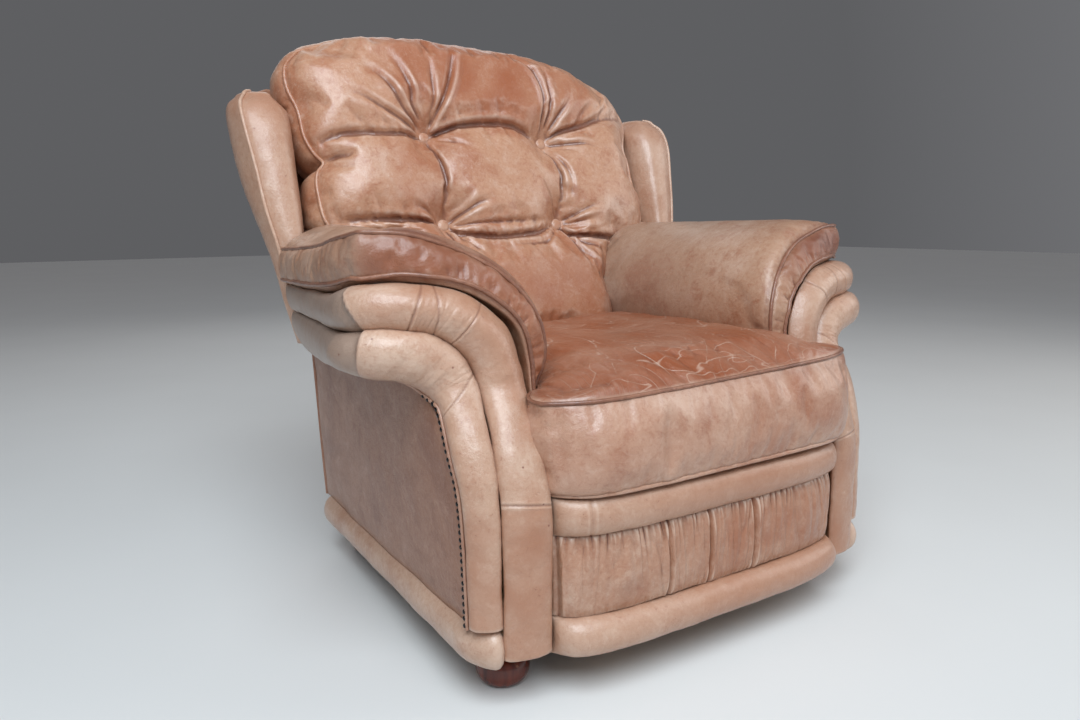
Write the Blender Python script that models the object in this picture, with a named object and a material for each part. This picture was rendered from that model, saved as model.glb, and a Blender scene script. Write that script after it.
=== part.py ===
"""A worn leather club chair, built up as a chair maker builds it.

A hardwood frame carries zigzag seat springs and back webbing. Padded rolls, arm pads, wings and
panels close the frame in, and a loose seat cushion and a buttoned back cushion lie on it.

Metres, +Z up. The front faces -Y, +X is the sitter's left, and the origin is on the floor under the
middle of the chair. Pieces that touch keep a gap of CLEARANCE.
"""

import math

import bmesh
import bpy
import numpy as np
from mathutils import Vector

# Driving sizes of the whole chair
CLEARANCE = 0.0004
PRESSED_GAP = 0.0018
BASE_HALF = 0.355
BASE_BOTTOM = 0.0525
BASE_TOP = 0.107
REAR_Y = 0.236
RECLINE = 0.41
BACK_Y = 0.265
BACK_Z = 0.766

# Covers and wood: base colour, roughness, metallic
FINISHES = {
    "seat_leather": ((0.50, 0.22, 0.10), 0.42, 0.0),
    "back_leather": ((0.55, 0.27, 0.13), 0.42, 0.0),
    "arm_leather": ((0.52, 0.27, 0.14), 0.42, 0.0),
    "roll_leather": ((0.66, 0.42, 0.25), 0.45, 0.0),
    "panel_leather": ((0.50, 0.33, 0.20), 0.55, 0.0),
    "hardwood": ((0.45, 0.30, 0.17), 0.65, 0.0),
    "dark_wood": ((0.09, 0.018, 0.010), 0.22, 0.0),
    "spring_steel": ((0.30, 0.30, 0.31), 0.35, 1.0),
    "black_nails": ((0.02, 0.018, 0.018), 0.35, 0.6),
    "webbing": ((0.12, 0.10, 0.08), 0.90, 0.0),
    "felt": ((0.20, 0.18, 0.16), 0.95, 0.0),
    "dust_cloth": ((0.03, 0.03, 0.03), 0.95, 0.0),
}

# Seams of the right arm, from the floor up the front and back along the side. Each row holds one
# station: the lower welt (the inner edge, on the column), the groove between the two rolls, and the
# nailed edge under the lower roll.
ARM_SEAMS = [
    ((0.268, -0.401, 0.069), (0.332, -0.389, 0.069), (0.368, -0.367, 0.069)),
    ((0.268, -0.402, 0.200), (0.332, -0.389, 0.200), (0.368, -0.362, 0.200)),
    ((0.267, -0.399, 0.268), (0.330, -0.381, 0.275), (0.370, -0.355, 0.280)),
    ((0.261, -0.368, 0.325), (0.326, -0.354, 0.343), (0.373, -0.336, 0.331)),
    ((0.247, -0.322, 0.385), (0.318, -0.311, 0.387), (0.373, -0.313, 0.377)),
    ((0.247, -0.311, 0.430), (0.320, -0.297, 0.412), (0.377, -0.298, 0.388)),
    ((0.260, -0.308, 0.473), (0.329, -0.289, 0.436), (0.384, -0.287, 0.397)),
    ((0.290, -0.300, 0.502), (0.347, -0.281, 0.456), (0.400, -0.282, 0.410)),
    ((0.335, -0.286, 0.525), (0.372, -0.272, 0.468), (0.423, -0.282, 0.421)),
    ((0.396, -0.266, 0.535), (0.412, -0.260, 0.472), (0.454, -0.268, 0.426)),
    ((0.441, -0.234, 0.532), (0.444, -0.234, 0.471), (0.465, -0.229, 0.424)),
    ((0.451, -0.165, 0.519), (0.448, -0.170, 0.470), (0.450, -0.165, 0.419)),
    ((0.449, -0.085, 0.514), (0.444, -0.085, 0.470), (0.435, -0.085, 0.409)),
    ((0.440, 0.040, 0.510), (0.433, 0.040, 0.467), (0.414, 0.040, 0.401)),
    ((0.427, 0.165, 0.507), (0.418, 0.160, 0.463), (0.392, 0.165, 0.393)),
]
# How far each roll stands proud of its seams at those stations
UPPER_ROLL_PROUD = [0.014, 0.014, 0.016, 0.020, 0.025, 0.028, 0.030, 0.032, 0.034, 0.038, 0.036,
                    0.026, 0.017, 0.014, 0.012]
LOWER_ROLL_PROUD = [0.012, 0.012, 0.014, 0.018, 0.024, 0.029, 0.033, 0.036, 0.037, 0.038, 0.036,
                    0.029, 0.024, 0.022, 0.020]

# Upper welt of the arm pad: round the front from the tip to the corner, then back along the side
PAD_FRONT = [(0.236, -0.303, 0.385), (0.218, -0.306, 0.430), (0.224, -0.301, 0.482),
             (0.258, -0.285, 0.531), (0.310, -0.268, 0.566), (0.380, -0.258, 0.591),
             (0.441, -0.244, 0.598)]
PAD_SIDE = [(0.441, -0.244, 0.598), (0.449, -0.170, 0.588), (0.443, -0.080, 0.577),
            (0.436, 0.040, 0.570), (0.430, 0.170, 0.565)]
PAD_REAR = [(0.228, 0.180, 0.380), (0.212, 0.188, 0.430), (0.216, 0.195, 0.490),
            (0.252, 0.202, 0.552), (0.310, 0.202, 0.586), (0.362, 0.186, 0.588),
            (0.430, 0.170, 0.565)]
PAD_REAR_INNER = [(0.262, 0.180, 0.380), (0.262, 0.188, 0.430), (0.270, 0.195, 0.472),
                  (0.300, 0.202, 0.505), (0.335, 0.202, 0.522), (0.366, 0.186, 0.522),
                  (0.427, 0.165, 0.507)]
PAD_LIFT = 0.0012
PAD_PROUD = 0.017
PAD_RISE = {-1.0: 0.001, 1.0: 0.014}
BOXING_PROUD = 0.012

# Wings: height, outer front corner (x, y), outer rear corner (x, y)
WING = [(0.400, (0.398, 0.198), (0.388, 0.222)), (0.480, (0.420, 0.194), (0.414, 0.228)),
        (0.560, (0.432, 0.197), (0.434, 0.262)), (0.631, (0.446, 0.204), (0.449, 0.298)),
        (0.700, (0.454, 0.219), (0.461, 0.332)), (0.769, (0.463, 0.240), (0.468, 0.350)),
        (0.808, (0.463, 0.263), (0.467, 0.356)), (0.828, (0.450, 0.285), (0.450, 0.352))]
WING_INNER = 0.381
WELT = 0.0045

# Seat cushion: half outline in plan, from the middle of the front to the middle of the back
SEAT_OUTLINE = [(0.000, -0.428), (0.120, -0.428), (0.215, -0.421), (0.268, -0.396),
                (0.287, -0.368), (0.268, -0.336), (0.238, -0.312), (0.224, -0.250),
                (0.221, -0.100), (0.221, 0.000), (0.214, 0.064), (0.188, 0.090),
                (0.100, 0.097), (0.000, 0.098)]
SEAT_WELT_TOP = 0.394
SEAT_WELT_BOTTOM = 0.276
SEAT_CROWN = 0.030
SEAT_PROUD = 0.014
SEAT_SHIFT = 0.010

# Back cushion: half width against height, and the height of its top edge across the width
BACK_SIDE = [(0.185, 0.352), (0.200, 0.400), (0.202, 0.500), (0.220, 0.556), (0.312, 0.592),
             (0.345, 0.630), (0.350, 0.678), (0.338, 0.710), (0.356, 0.766), (0.364, 0.830),
             (0.360, 0.880), (0.330, 0.922)]
BACK_TOP = [(0.000, 0.966), (0.100, 0.967), (0.180, 0.962), (0.265, 0.948), (0.330, 0.922)]
BACK_THICK = 0.100
BACK_SLUMP = 0.034
GUSSET_PROUD = 0.018
BACK_PUFF = 0.046
BUTTONS = [(-0.132, 0.764), (0.132, 0.764), (-0.127, 0.5985), (0.127, 0.5985)]

# Front of the base: half outline of the bowed front, and the heights of its three bands
FRONT_BOW = [(0.000, -0.426), (0.100, -0.426), (0.175, -0.423), (0.232, -0.411), (0.262, -0.390)]
BORDER_BAND = (0.218, 0.2665)
APRON_BAND = (0.1085, 0.2165)
BASE_BAND = (0.0560, 0.1070)
FRONT_PADDING = 0.0235

# Feet
FOOT_X = 0.299
FOOT_FRONT_Y = -0.326
FOOT_REAR_Y = 0.176
FOOT_PROFILE = [(0.0, 0.0), (0.020, 0.0), (0.029, 0.003), (0.0355, 0.014), (0.0370, 0.024),
                (0.0335, 0.036), (0.0240, 0.043), (0.0285, 0.0490), (0.0285, 0.0530),
                (0.0, 0.0530)]

# Hardwood frame
RAIL_BOTTOM = 0.0560
RAIL_TOP = 0.2450
SIDE_RAIL_TOP = 0.1500
FRONT_RAIL_REAR = -0.3260
REAR_RAIL_Y = (0.180, 0.204)
SIDE_RAIL_X = (0.300, 0.334)
POST_X = (0.276, 0.318)
BACK_POST_X = (0.250, 0.282)
BACK_POST_DEEP = 0.013
TOP_RAIL_Z = (0.688, 0.733)
ARM_BOARD_X = (0.296, 0.375)
ARM_BOARD_Y = (-0.235, 0.235)
ARM_BOARD_Z = (0.478, 0.498)
INSIDE_ARM_X = (0.2535, 0.2595)
INSIDE_ARM_Y = (-0.262, 0.140)
BLOCK_LEG = 0.065

# Springs, webbing and nails
SPRING_WIRE = 0.0021
SPRING_XS = (-0.165, -0.055, 0.055, 0.165)
SPRING_SWING = 0.024
SPRING_TURNS = 9
WEBBING_Z = (0.430, 0.540, 0.650)
WEBBING_WIDE = 0.050
NAIL_PITCH = 0.0115
NAIL_RADIUS = 0.0048
NAILS_FROM, NAILS_TO = 0.124, 0.379
NAIL_OFFSET = (0.0060, 0.0070, 0.0)
ARM_STEPS = 32

# Outside arm panel: height, distance out, front edge, rear edge
PANEL = [(0.1085, 0.3600, -0.353, 0.236), (0.200, 0.3655, -0.348, 0.233),
         (0.290, 0.3700, -0.338, 0.229), (0.345, 0.3730, -0.318, 0.226),
         (0.400, 0.3760, -0.268, 0.223), (0.440, 0.3775, -0.245, 0.221)]
PANEL_BOW = 0.004
PANEL_THICK = 0.006

# Outside back: height, half width, how far back its side edges lie
BACK_PANEL = [(0.1085, 0.352, 0.228), (0.300, 0.362, 0.230), (0.420, 0.380, 0.236),
              (0.520, 0.415, 0.262), (0.620, 0.443, 0.306), (0.720, 0.460, 0.352),
              (0.800, 0.462, 0.374), (0.835, 0.436, 0.400), (0.858, 0.385, 0.425)]
OUTSIDE_TOP_Y, OUTSIDE_TOP_Z = 0.416, 0.770

# Cranked front post of each arm: height, front, rear
FRONT_POST = [(0.0560, -0.358, -0.326), (0.2400, -0.358, -0.326), (0.2650, -0.322, -0.290),
              (0.3300, -0.312, -0.276), (0.4000, -0.262, -0.226), (0.4775, -0.232, -0.196)]


def clear_scene():
    for item in list(bpy.data.objects):
        bpy.data.objects.remove(item, do_unlink=True)


def material(finish):
    found = bpy.data.materials.get(finish)
    if found:
        return found
    colour, roughness, metallic = FINISHES[finish]
    made = bpy.data.materials.new(finish)
    made.use_nodes = True
    shader = made.node_tree.nodes["Principled BSDF"]
    shader.inputs["Base Color"].default_value = (*colour, 1.0)
    shader.inputs["Roughness"].default_value = roughness
    shader.inputs["Metallic"].default_value = metallic
    return made


def place(name, mesh, finish, smooth=True):
    """Put a mesh into the scene as one named sub-part."""
    piece = bpy.data.objects.new(name, mesh)
    bpy.context.scene.collection.objects.link(piece)
    mesh.materials.clear()
    mesh.materials.append(material(finish))
    if smooth:
        mesh.shade_smooth()
        mesh.set_sharp_from_angle(angle=math.radians(50))
    return piece


def smooth_through(points, count):
    """Evenly spaced points on a smooth curve through the given ones, whatever their width."""
    p = np.array(points, float)
    p = np.vstack([2 * p[0] - p[1], p, 2 * p[-1] - p[-2]])
    steps = np.linspace(0, 1, 12, endpoint=False)[:, None]
    fine = []
    for a, b, c, d in zip(p, p[1:], p[2:], p[3:]):
        fine.append(0.5 * (2 * b + (c - a) * steps + (2 * a - 5 * b + 4 * c - d) * steps ** 2
                           + (3 * b - a - 3 * c + d) * steps ** 3))
    fine = np.vstack(fine + [p[-2:-1]])
    along = np.r_[0, np.cumsum(np.linalg.norm(np.diff(fine, axis=0), axis=1))]
    at = np.linspace(0, along[-1], count)
    return np.stack([np.interp(at, along, column) for column in fine.T], axis=1)


def unit(v):
    return v / np.maximum(np.linalg.norm(v, axis=-1, keepdims=True), 1e-9)


def skin(patches):
    """One closed mesh from grids of points whose borders coincide."""
    shell = bmesh.new()
    for grid in patches:
        rows = [[shell.verts.new(point) for point in row] for row in grid]
        for low, high in zip(rows, rows[1:]):
            for a, b, c, d in zip(low, low[1:], high[1:], high):
                shell.faces.new((a, b, c, d))
    bmesh.ops.remove_doubles(shell, verts=shell.verts, dist=2e-6)
    bmesh.ops.dissolve_degenerate(shell, edges=shell.edges, dist=2e-6)
    bmesh.ops.recalc_face_normals(shell, faces=shell.faces)
    mesh = bpy.data.meshes.new("skin")
    shell.to_mesh(mesh)
    shell.free()
    return mesh


def mirrored(points, side):
    return np.array(points, float) * np.array([side, 1.0, 1.0])


def closed_ring(points):
    return np.concatenate([points, points[:1]], axis=0)


def lidded_tube(rings):
    """Patches for a tube of rings with a fan of faces over each end."""
    rings = [closed_ring(np.asarray(ring)) for ring in rings]
    first = np.repeat(rings[0][:-1].mean(axis=0)[None], len(rings[0]), axis=0)
    last = np.repeat(rings[-1][:-1].mean(axis=0)[None], len(rings[0]), axis=0)
    return [np.array([first, *rings, last])]


def roll_between(edge_a, edge_b, proud, deep, around, dome=0.6):
    """Rings of a padded roll that lies between two seams, with domed ends."""
    middle = (edge_a + edge_b) / 2
    along = unit(np.gradient(middle, axis=0))
    across = edge_b - edge_a
    out = unit(np.cross(across, along))
    turn = np.linspace(0, 2 * math.pi, around, endpoint=False)
    rings = []
    for m, c, o, high in zip(middle, across, out, proud):
        width = np.linalg.norm(c)
        c = c * (1 - 3 * CLEARANCE / width)
        rise = np.where(np.sin(turn) >= 0, high * np.abs(np.sin(turn)) ** 0.85,
                        -deep * np.abs(np.sin(turn)) ** 1.8)
        rings.append(m - np.cos(turn)[:, None] * c / 2 + rise[:, None] * o)
    return domed(rings, along, dome)


def domed(rings, along, dome):
    """Close both ends of a roll with smaller rings that bulge along it."""
    out = list(rings)
    for end, way in ((0, -1.0), (-1, 1.0)):
        ring = rings[end]
        centre = ring.mean(axis=0)
        reach = np.linalg.norm(ring - centre, axis=1).mean() * dome
        for share in (0.42, 0.80):
            size = math.sqrt(1 - share ** 2)
            cap = centre + (ring - centre) * size + along[end] * way * reach * share
            out.insert(0, cap) if way < 0 else out.append(cap)
    return out


def islands(shell):
    left = set(shell.verts)
    while left:
        group = [left.pop()]
        for vert in group:
            for edge in vert.link_edges:
                other = edge.other_vert(vert)
                if other in left:
                    left.remove(other)
                    group.append(other)
        yield group


def keep_largest(mesh):
    """Drop the crumbs that a cut leaves, and keep the piece itself."""
    shell = bmesh.new()
    shell.from_mesh(mesh)
    bmesh.ops.remove_doubles(shell, verts=shell.verts, dist=1e-5)
    groups = sorted(islands(shell), key=len)
    loose = [vert for group in groups[:-1] for vert in group]
    bmesh.ops.delete(shell, geom=loose, context="VERTS")
    shell.to_mesh(mesh)
    shell.free()


def relieve(piece, *neighbours, gap=CLEARANCE):
    """Cut a soft piece back to where the neighbours that press into it begin."""
    for neighbour in neighbours:
        swollen = neighbour.data.copy()
        normals = [vert.normal.copy() for vert in swollen.vertices]
        for vert, normal in zip(swollen.vertices, normals):
            vert.co += normal * gap
        cutter = bpy.data.objects.new("cutter", swollen)
        bpy.context.scene.collection.objects.link(cutter)
        cut = piece.modifiers.new("relief", "BOOLEAN")
        cut.operation = "DIFFERENCE"
        cut.solver = "EXACT"
        cut.object = cutter
        graph = bpy.context.evaluated_depsgraph_get()
        result = bpy.data.meshes.new_from_object(piece.evaluated_get(graph))
        piece.modifiers.clear()
        bpy.data.objects.remove(cutter, do_unlink=True)
        keep_largest(result)
        piece.data = result
    return piece


def box_mesh(low, high, edge=0.0):
    """A board from its lowest and highest corners, its long edges eased."""
    low, high = np.array(low, float), np.array(high, float)
    shell = bmesh.new()
    bmesh.ops.create_cube(shell, size=1.0)
    for vert in shell.verts:
        vert.co = Vector((low + high) / 2) + Vector(np.array(vert.co) * (high - low))
    if edge:
        bmesh.ops.bevel(shell, geom=shell.edges, offset=edge, segments=1, affect="EDGES")
    mesh = bpy.data.meshes.new("board")
    shell.to_mesh(mesh)
    shell.free()
    return mesh


def turned(profile, centre, around=14):
    """A turned piece from its half profile of radius and height."""
    angles = np.linspace(0, 2 * math.pi, around + 1)
    grid = [[(centre[0] + r * math.cos(t), centre[1] + r * math.sin(t), centre[2] + z)
             for t in angles] for r, z in profile]
    return skin([np.array(grid)])


# ---------------------------------------------------------------- soft covers


def arm_stations(side, count):
    """Welt, groove and nailed edge of an arm, and how proud its two rolls stand, along it."""
    rows = [sum(row, ()) for row in ARM_SEAMS]
    packed = [row + (a, b) for row, a, b in zip(rows, UPPER_ROLL_PROUD, LOWER_ROLL_PROUD)]
    fine = smooth_through(packed, count)
    welt, groove, nailed = (mirrored(fine[:, i:i + 3], side) for i in (0, 3, 6))
    return welt, groove, nailed, fine[:, 9], fine[:, 10]


def upper_roll(name, side):
    """The roll that starts as the inner column and runs back under the arm pad."""
    welt, groove, _, proud, _ = arm_stations(side, ARM_STEPS)
    ends = (welt, groove) if side > 0 else (groove, welt)
    rings = roll_between(*ends, proud, 0.016, 10, dome=0.12)
    return place(name, skin(lidded_tube(rings)), "roll_leather")


def lower_roll(name, side):
    """The outer column, which swells into the scroll and runs back along the side."""
    _, groove, nailed, _, proud = arm_stations(side, ARM_STEPS)
    foot = next(i for i, point in enumerate(groove) if point[2] > BASE_TOP + 0.010)
    groove, nailed, proud = groove[foot:], nailed[foot:], proud[foot:]
    ends = (groove, nailed) if side > 0 else (nailed, groove)
    rings = roll_between(*ends, proud, 0.014, 10, dome=0.12)
    return place(name, skin(lidded_tube(rings)), "roll_leather")


def arm_pad(name, side):
    """The pad over the inside and top of the arm, with its puffed boxing round the front."""
    across, back, strip = 13, 11, 3
    rows = [row[0] for row in ARM_SEAMS]
    low_front = smooth_through(rows[4:11], across)
    low_side = smooth_through(rows[10:], back)
    up_front = smooth_through(PAD_FRONT, across)
    up_side = smooth_through(PAD_SIDE, back)
    up_rear = smooth_through(PAD_REAR, across)
    low_rear = smooth_through(PAD_REAR_INNER, across)
    low_front = low_front + unit(up_front - low_front) * PAD_LIFT
    low_side = low_side + unit(up_side - low_side) * PAD_LIFT
    low_rear = low_rear + unit(up_rear - low_rear) * PAD_LIFT
    u = np.linspace(0, 1, across)
    v = np.linspace(0, 1, back)[:, None, None]

    def between(front, rear, edge):
        grid = front * (1 - v) + rear * v
        return grid + (u[None, :, None] ** 3) * (edge[:, None] - grid[:, -1:])

    over = between(up_front, up_rear, up_side)
    under = between(low_front, low_rear, low_side)
    normal = unit(np.cross(np.gradient(over, axis=1), np.gradient(over, axis=0)))
    crown = np.sin(math.pi * (0.08 + 0.92 * u)) ** 0.5 * (1 - np.exp(-v[:, :, 0] * 20))
    proud = PAD_PROUD + PAD_RISE[side] * (1 - v[:, :, 0]) * np.clip((u - 0.3) / 0.3, 0, 1)
    over = over + normal * (proud * np.clip(crown, 0, 1))[..., None]

    seam_up = np.vstack([over[0], over[1:, -1]])
    seam_low = np.vstack([under[0], under[1:, -1]])
    run = unit(np.gradient(seam_up + seam_low, axis=0))
    out = unit(np.cross(run, seam_low - seam_up))
    width = np.linalg.norm(seam_low - seam_up, axis=1)
    share = np.linspace(0, 1, strip + 1)[:, None, None]
    puff = (BOXING_PROUD * np.clip(width / 0.05, 0, 1) ** 2)[None, :, None]
    puff = puff * np.sin(math.pi * share)
    boxing = seam_up * (1 - share) + seam_low * share - out * puff

    rear = over[-1] * (1 - share) + under[-1] * share
    rear = rear + (u[None, :, None] ** 6) * (boxing[:, -1:] - rear[:, -1:])
    foot = over[:, 0] * (1 - share) + under[:, 0] * share
    foot[:, 0] = boxing[:, 0]
    patches = [mirrored(grid, side) for grid in (over, under, boxing, rear, foot)]
    return place(name, skin(patches), "arm_leather")


def wing(name, side):
    """A padded wing beside the back cushion, welted down its outer front edge."""
    rows = [(z, *front, *rear) for z, front, rear in WING]
    rings = []
    for z, fx, fy, rx, ry in smooth_through(rows, 15):
        inner = WING_INNER + max(0.0, z - 0.80) * 0.6
        width = fx - inner
        ring = [(inner, fy + 0.030), (inner + 0.010, fy + 0.010), (inner + width * 0.35, fy - 0.008),
                (inner + width * 0.70, fy - 0.010), (fx - 0.008, fy - 0.005),
                (fx - 0.001, fy - 0.006), (fx + WELT, fy - 0.001), (fx + 0.004, fy + 0.006),
                (max(fx, rx) + 0.006, (fy + ry) / 2), (rx, ry - 0.008), (rx - 0.010, ry),
                (inner + 0.006, ry - 0.004), (inner, ry - 0.014)]
        rings.append([(x * side, y, z) for x, y in ring])
    rings = [np.array(ring) for ring in rings]
    top = rings[-1]
    centre = top.mean(axis=0)
    rings.append(centre + (top - centre) * 0.72 + np.array([0, 0, 0.007]))
    return place(name, skin(lidded_tube(rings)), "roll_leather")


def outline_points(half, count):
    """A closed outline from its right half, evenly spaced."""
    right = smooth_through(half, count // 2 + 1)
    left = right[1:-1][::-1] * np.array([-1.0, 1.0])
    return np.vstack([right, left])


def grown(outline, distance):
    run = unit(np.roll(outline, -1, axis=0) - np.roll(outline, 1, axis=0))
    return outline + np.stack([run[:, 1], -run[:, 0]], axis=1) * distance


def seat_cushion():
    """The loose seat cushion, crowned on top, with a welt round the top and the bottom."""
    outline = outline_points(SEAT_OUTLINE, 46)
    middle = np.array([0.0, -0.16])
    rings = []

    def level(shape, z):
        ring = np.column_stack([shape, np.full(len(shape), z) if np.isscalar(z) else z])
        rings.append(ring + np.array([SEAT_SHIFT, 0, 0]))

    for size in (0.45, 0.88):
        level(middle + (outline - middle) * size, SEAT_WELT_BOTTOM - 0.004)
    level(grown(outline, -0.004), SEAT_WELT_BOTTOM - 0.002)
    for swell, z in ((WELT, -0.002), (WELT, 0.003)):
        level(grown(outline, swell), SEAT_WELT_BOTTOM + z)
    tall = SEAT_WELT_TOP - SEAT_WELT_BOTTOM
    for share in (0.08, 0.30, 0.70, 0.92):
        swell = SEAT_PROUD * math.sin(math.pi * share) ** 0.7
        level(grown(outline, swell), SEAT_WELT_BOTTOM + tall * share)
    for swell, z in ((WELT, -0.003), (WELT, 0.002)):
        level(grown(outline, swell), SEAT_WELT_TOP + z)
    level(grown(outline, -0.003), SEAT_WELT_TOP + 0.004)
    for size in (0.93, 0.80, 0.55, 0.25):
        level(middle + (outline - middle) * size,
              SEAT_WELT_TOP + 0.006 + SEAT_CROWN * (1 - size ** 2.6))
    return place("seat_cushion", skin(lidded_tube(rings)), "seat_leather")


def back_plane(x, z, out=0.0):
    """A point on the reclined plane of the back, moved out of it by a distance."""
    lean = math.hypot(1.0, RECLINE)
    y = BACK_Y + RECLINE * (z - BACK_Z)
    return np.stack([x, y - out / lean, z + out * RECLINE / lean], axis=-1)


def distance_to_line(x, z, start, end):
    """Distance from points to a line segment, and the share of the way along it."""
    run = np.array(end) - np.array(start)
    share = np.clip(((x - start[0]) * run[0] + (z - start[1]) * run[1]) / (run @ run), 0, 1)
    return np.hypot(x - start[0] - run[0] * share, z - start[1] - run[1] * share), share


def tufting(x, z):
    """Share of the full puff that the buttons and the pulled creases leave, from 0 to 1."""
    upper_left, upper_right, lower_left, lower_right = BUTTONS
    creases = [(upper_left, upper_right, 0.55), (lower_left, lower_right, 0.65),
               (upper_left, lower_left, 0.55), (upper_right, lower_right, 0.55),
               (upper_left, (-0.36, 0.755), 0.45), (upper_right, (0.36, 0.800), 0.45),
               (lower_left, (-0.36, 0.600), 0.75), (lower_right, (0.36, 0.600), 0.75)]
    kept = np.ones_like(x)
    for start, end, pull in creases:
        distance, share = distance_to_line(x, z, start, end)
        slack = 1 - 0.45 * np.sin(math.pi * share)
        kept = kept * (1 - pull * slack * np.exp(-(distance / 0.022) ** 1.4))
    for centre in BUTTONS:
        kept = kept * (1 - 0.93 * np.exp(-(np.hypot(x - centre[0], z - centre[1]) / 0.034) ** 1.5))
    return kept


def back_cushion():
    """The back cushion: a puffed front pulled in by four buttons, a gusset and a plain rear."""
    wide, tall = 27, 25
    a = np.linspace(-1, 1, wide)
    side = smooth_through(BACK_SIDE, tall)
    top = np.array(BACK_TOP)
    half, height = side[:, 0], side[:, 1]
    rise = (height - height[0]) / (height[-1] - height[0])
    x = half[:, None] * a[None, :]
    peak = np.interp(np.abs(a) * half[-1], top[:, 0], top[:, 1])
    z = height[0] + rise[:, None] * (peak - height[0])[None, :]
    z = z - BACK_SLUMP * np.clip(a, 0, 1)[None, :] ** 1.2 * rise[:, None] ** 3
    edge = np.minimum((1 - np.abs(a))[None, :] * half[:, None], (1 - rise)[:, None] * 0.6)
    puff = BACK_PUFF * (1 - np.exp(-np.maximum(edge, 0) / 0.030))
    puff = puff * tufting(x, z)
    border = np.minimum((1 - np.abs(a))[None, :], np.minimum(rise, 1 - rise)[:, None]) <= 1e-9
    front = back_plane(x, z, np.where(border, 0.0, puff + 0.002))

    def rim(grid):
        return np.vstack([grid[0], grid[1:, -1], grid[-1, -2::-1], grid[-2:0:-1, 0]])

    edge_front = rim(front)
    centre = edge_front.mean(axis=0)
    back_way = np.array([0, 1.0, -RECLINE]) / math.hypot(1.0, RECLINE)
    outward = unit(edge_front - centre - np.outer((edge_front - centre) @ back_way, back_way))
    loops = [edge_front, edge_front + outward * WELT + back_way * 0.003]
    for share in (0.12, 0.5, 0.9):
        swell = GUSSET_PROUD * math.sin(math.pi * share)
        loops.append(edge_front + outward * (swell + 0.001) + back_way * BACK_THICK * share)
    loops.append(edge_front - outward * 0.006 + back_way * BACK_THICK)
    loops.append(np.repeat((centre + back_way * (BACK_THICK + 0.004))[None], len(edge_front), 0))
    sides = np.array([closed_ring(loop) for loop in loops])
    return place("back_cushion", skin([front, sides]), "back_leather")


def back_button(name, centre):
    """A small covered button, domed in front, that sits in its tuft."""
    turn = np.linspace(0, 2 * math.pi, 11)
    rings = []
    for radius, out in ((0.0, 0.0045), (0.0110, 0.0045), (0.0120, 0.0070), (0.0080, 0.0102),
                        (0.0, 0.0113)):
        lean = math.hypot(1.0, RECLINE)
        x = centre[0] + radius * np.cos(turn)
        z = centre[1] + radius * np.sin(turn) / lean
        rings.append(back_plane(x, z, out))
    return place(name, skin([np.array(rings)]), "back_leather")


def front_bow(count):
    """The bowed line of the front in plan, from the left column to the right one."""
    right = smooth_through(FRONT_BOW, count // 2 + 1)
    return np.vstack([right[::-1] * np.array([-1.0, 1.0]), right[1:]])


def front_band(name, band, proud, finish, inward=0.022, pleat=0.0, wide=27, tall=6):
    """A band of the bowed front, rounded at both ends and padded between its seams."""
    low, high = band
    bow = front_bow(wide)
    along = np.linspace(-1, 1, len(bow))
    ends = np.clip((1 - np.abs(along)) * 9, 0, 1) ** 0.5
    run = unit(np.gradient(bow, axis=0))
    out = np.stack([run[:, 1], -run[:, 0]], axis=1)
    rings = []
    for i, (point, way, end) in enumerate(zip(bow, out, ends)):
        ring = []
        for turn in np.linspace(0, math.pi, tall + 1):
            fold = pleat * math.cos(i * math.pi) * (0.35 + 0.65 * (1 - turn / math.pi) ** 2)
            swell = (proud * math.sin(turn) ** 0.8) * end + fold * math.sin(turn) * end
            z = high + (low - high) * (1 - math.cos(turn)) / 2
            ring.append((*(point + way * swell), z))
        ring.append((*(point - way * inward * (0.4 + 0.6 * end)), low + 0.004))
        ring.append((*(point - way * inward * (0.4 + 0.6 * end)), high - 0.004))
        rings.append(np.array(ring))
    return place(name, skin(lidded_tube(rings)), finish)


def base_roll(name, path, radius, finish="roll_leather"):
    """A padded roll along the bottom edge: an upright oval carried along a path."""
    path = np.array(path, float)
    along = unit(np.gradient(path, axis=0))
    out = unit(np.cross(along, np.array([0.0, 0.0, 1.0])))
    turn = np.linspace(0, 2 * math.pi, 10, endpoint=False)
    rings = [p + np.cos(turn)[:, None] * o * radius[0] + np.sin(turn)[:, None] * [0, 0, radius[1]]
             for p, o in zip(path, out)]
    return place(name, skin(lidded_tube(domed(rings, along, 0.3))), finish)


def side_base_path(side):
    """From the rear corner forward along the side and round the front corner to the column."""
    corner = [(BASE_HALF, -0.10, 0.0), (BASE_HALF, -0.30, 0.0), (BASE_HALF - 0.001, -0.345, 0.0),
              (BASE_HALF - 0.008, -0.366, 0.0), (BASE_HALF - 0.014, -0.375, 0.0)]
    path = smooth_through([(BASE_HALF, REAR_Y - 0.012, 0.0)] + corner, 12)
    path[:, 2] = (BASE_BOTTOM + BASE_TOP) / 2
    return mirrored(path, side)


def side_panel(name, side):
    """The outside of the arm: leather over board, its top edge tucked up behind the lower roll."""
    rings = []
    for z, out, front, rear in PANEL:
        share = np.linspace(0, 1, 7)
        y = front + (rear - front) * share
        x = out + PANEL_BOW * np.sin(math.pi * share)
        outside = np.column_stack([x, y, np.full_like(y, z)])
        inside = outside[::-1] - np.array([PANEL_THICK, 0.0, 0.0])
        rings.append(mirrored(np.vstack([outside, inside]), side))
    return place(name, skin(lidded_tube(rings)), "panel_leather")


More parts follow.
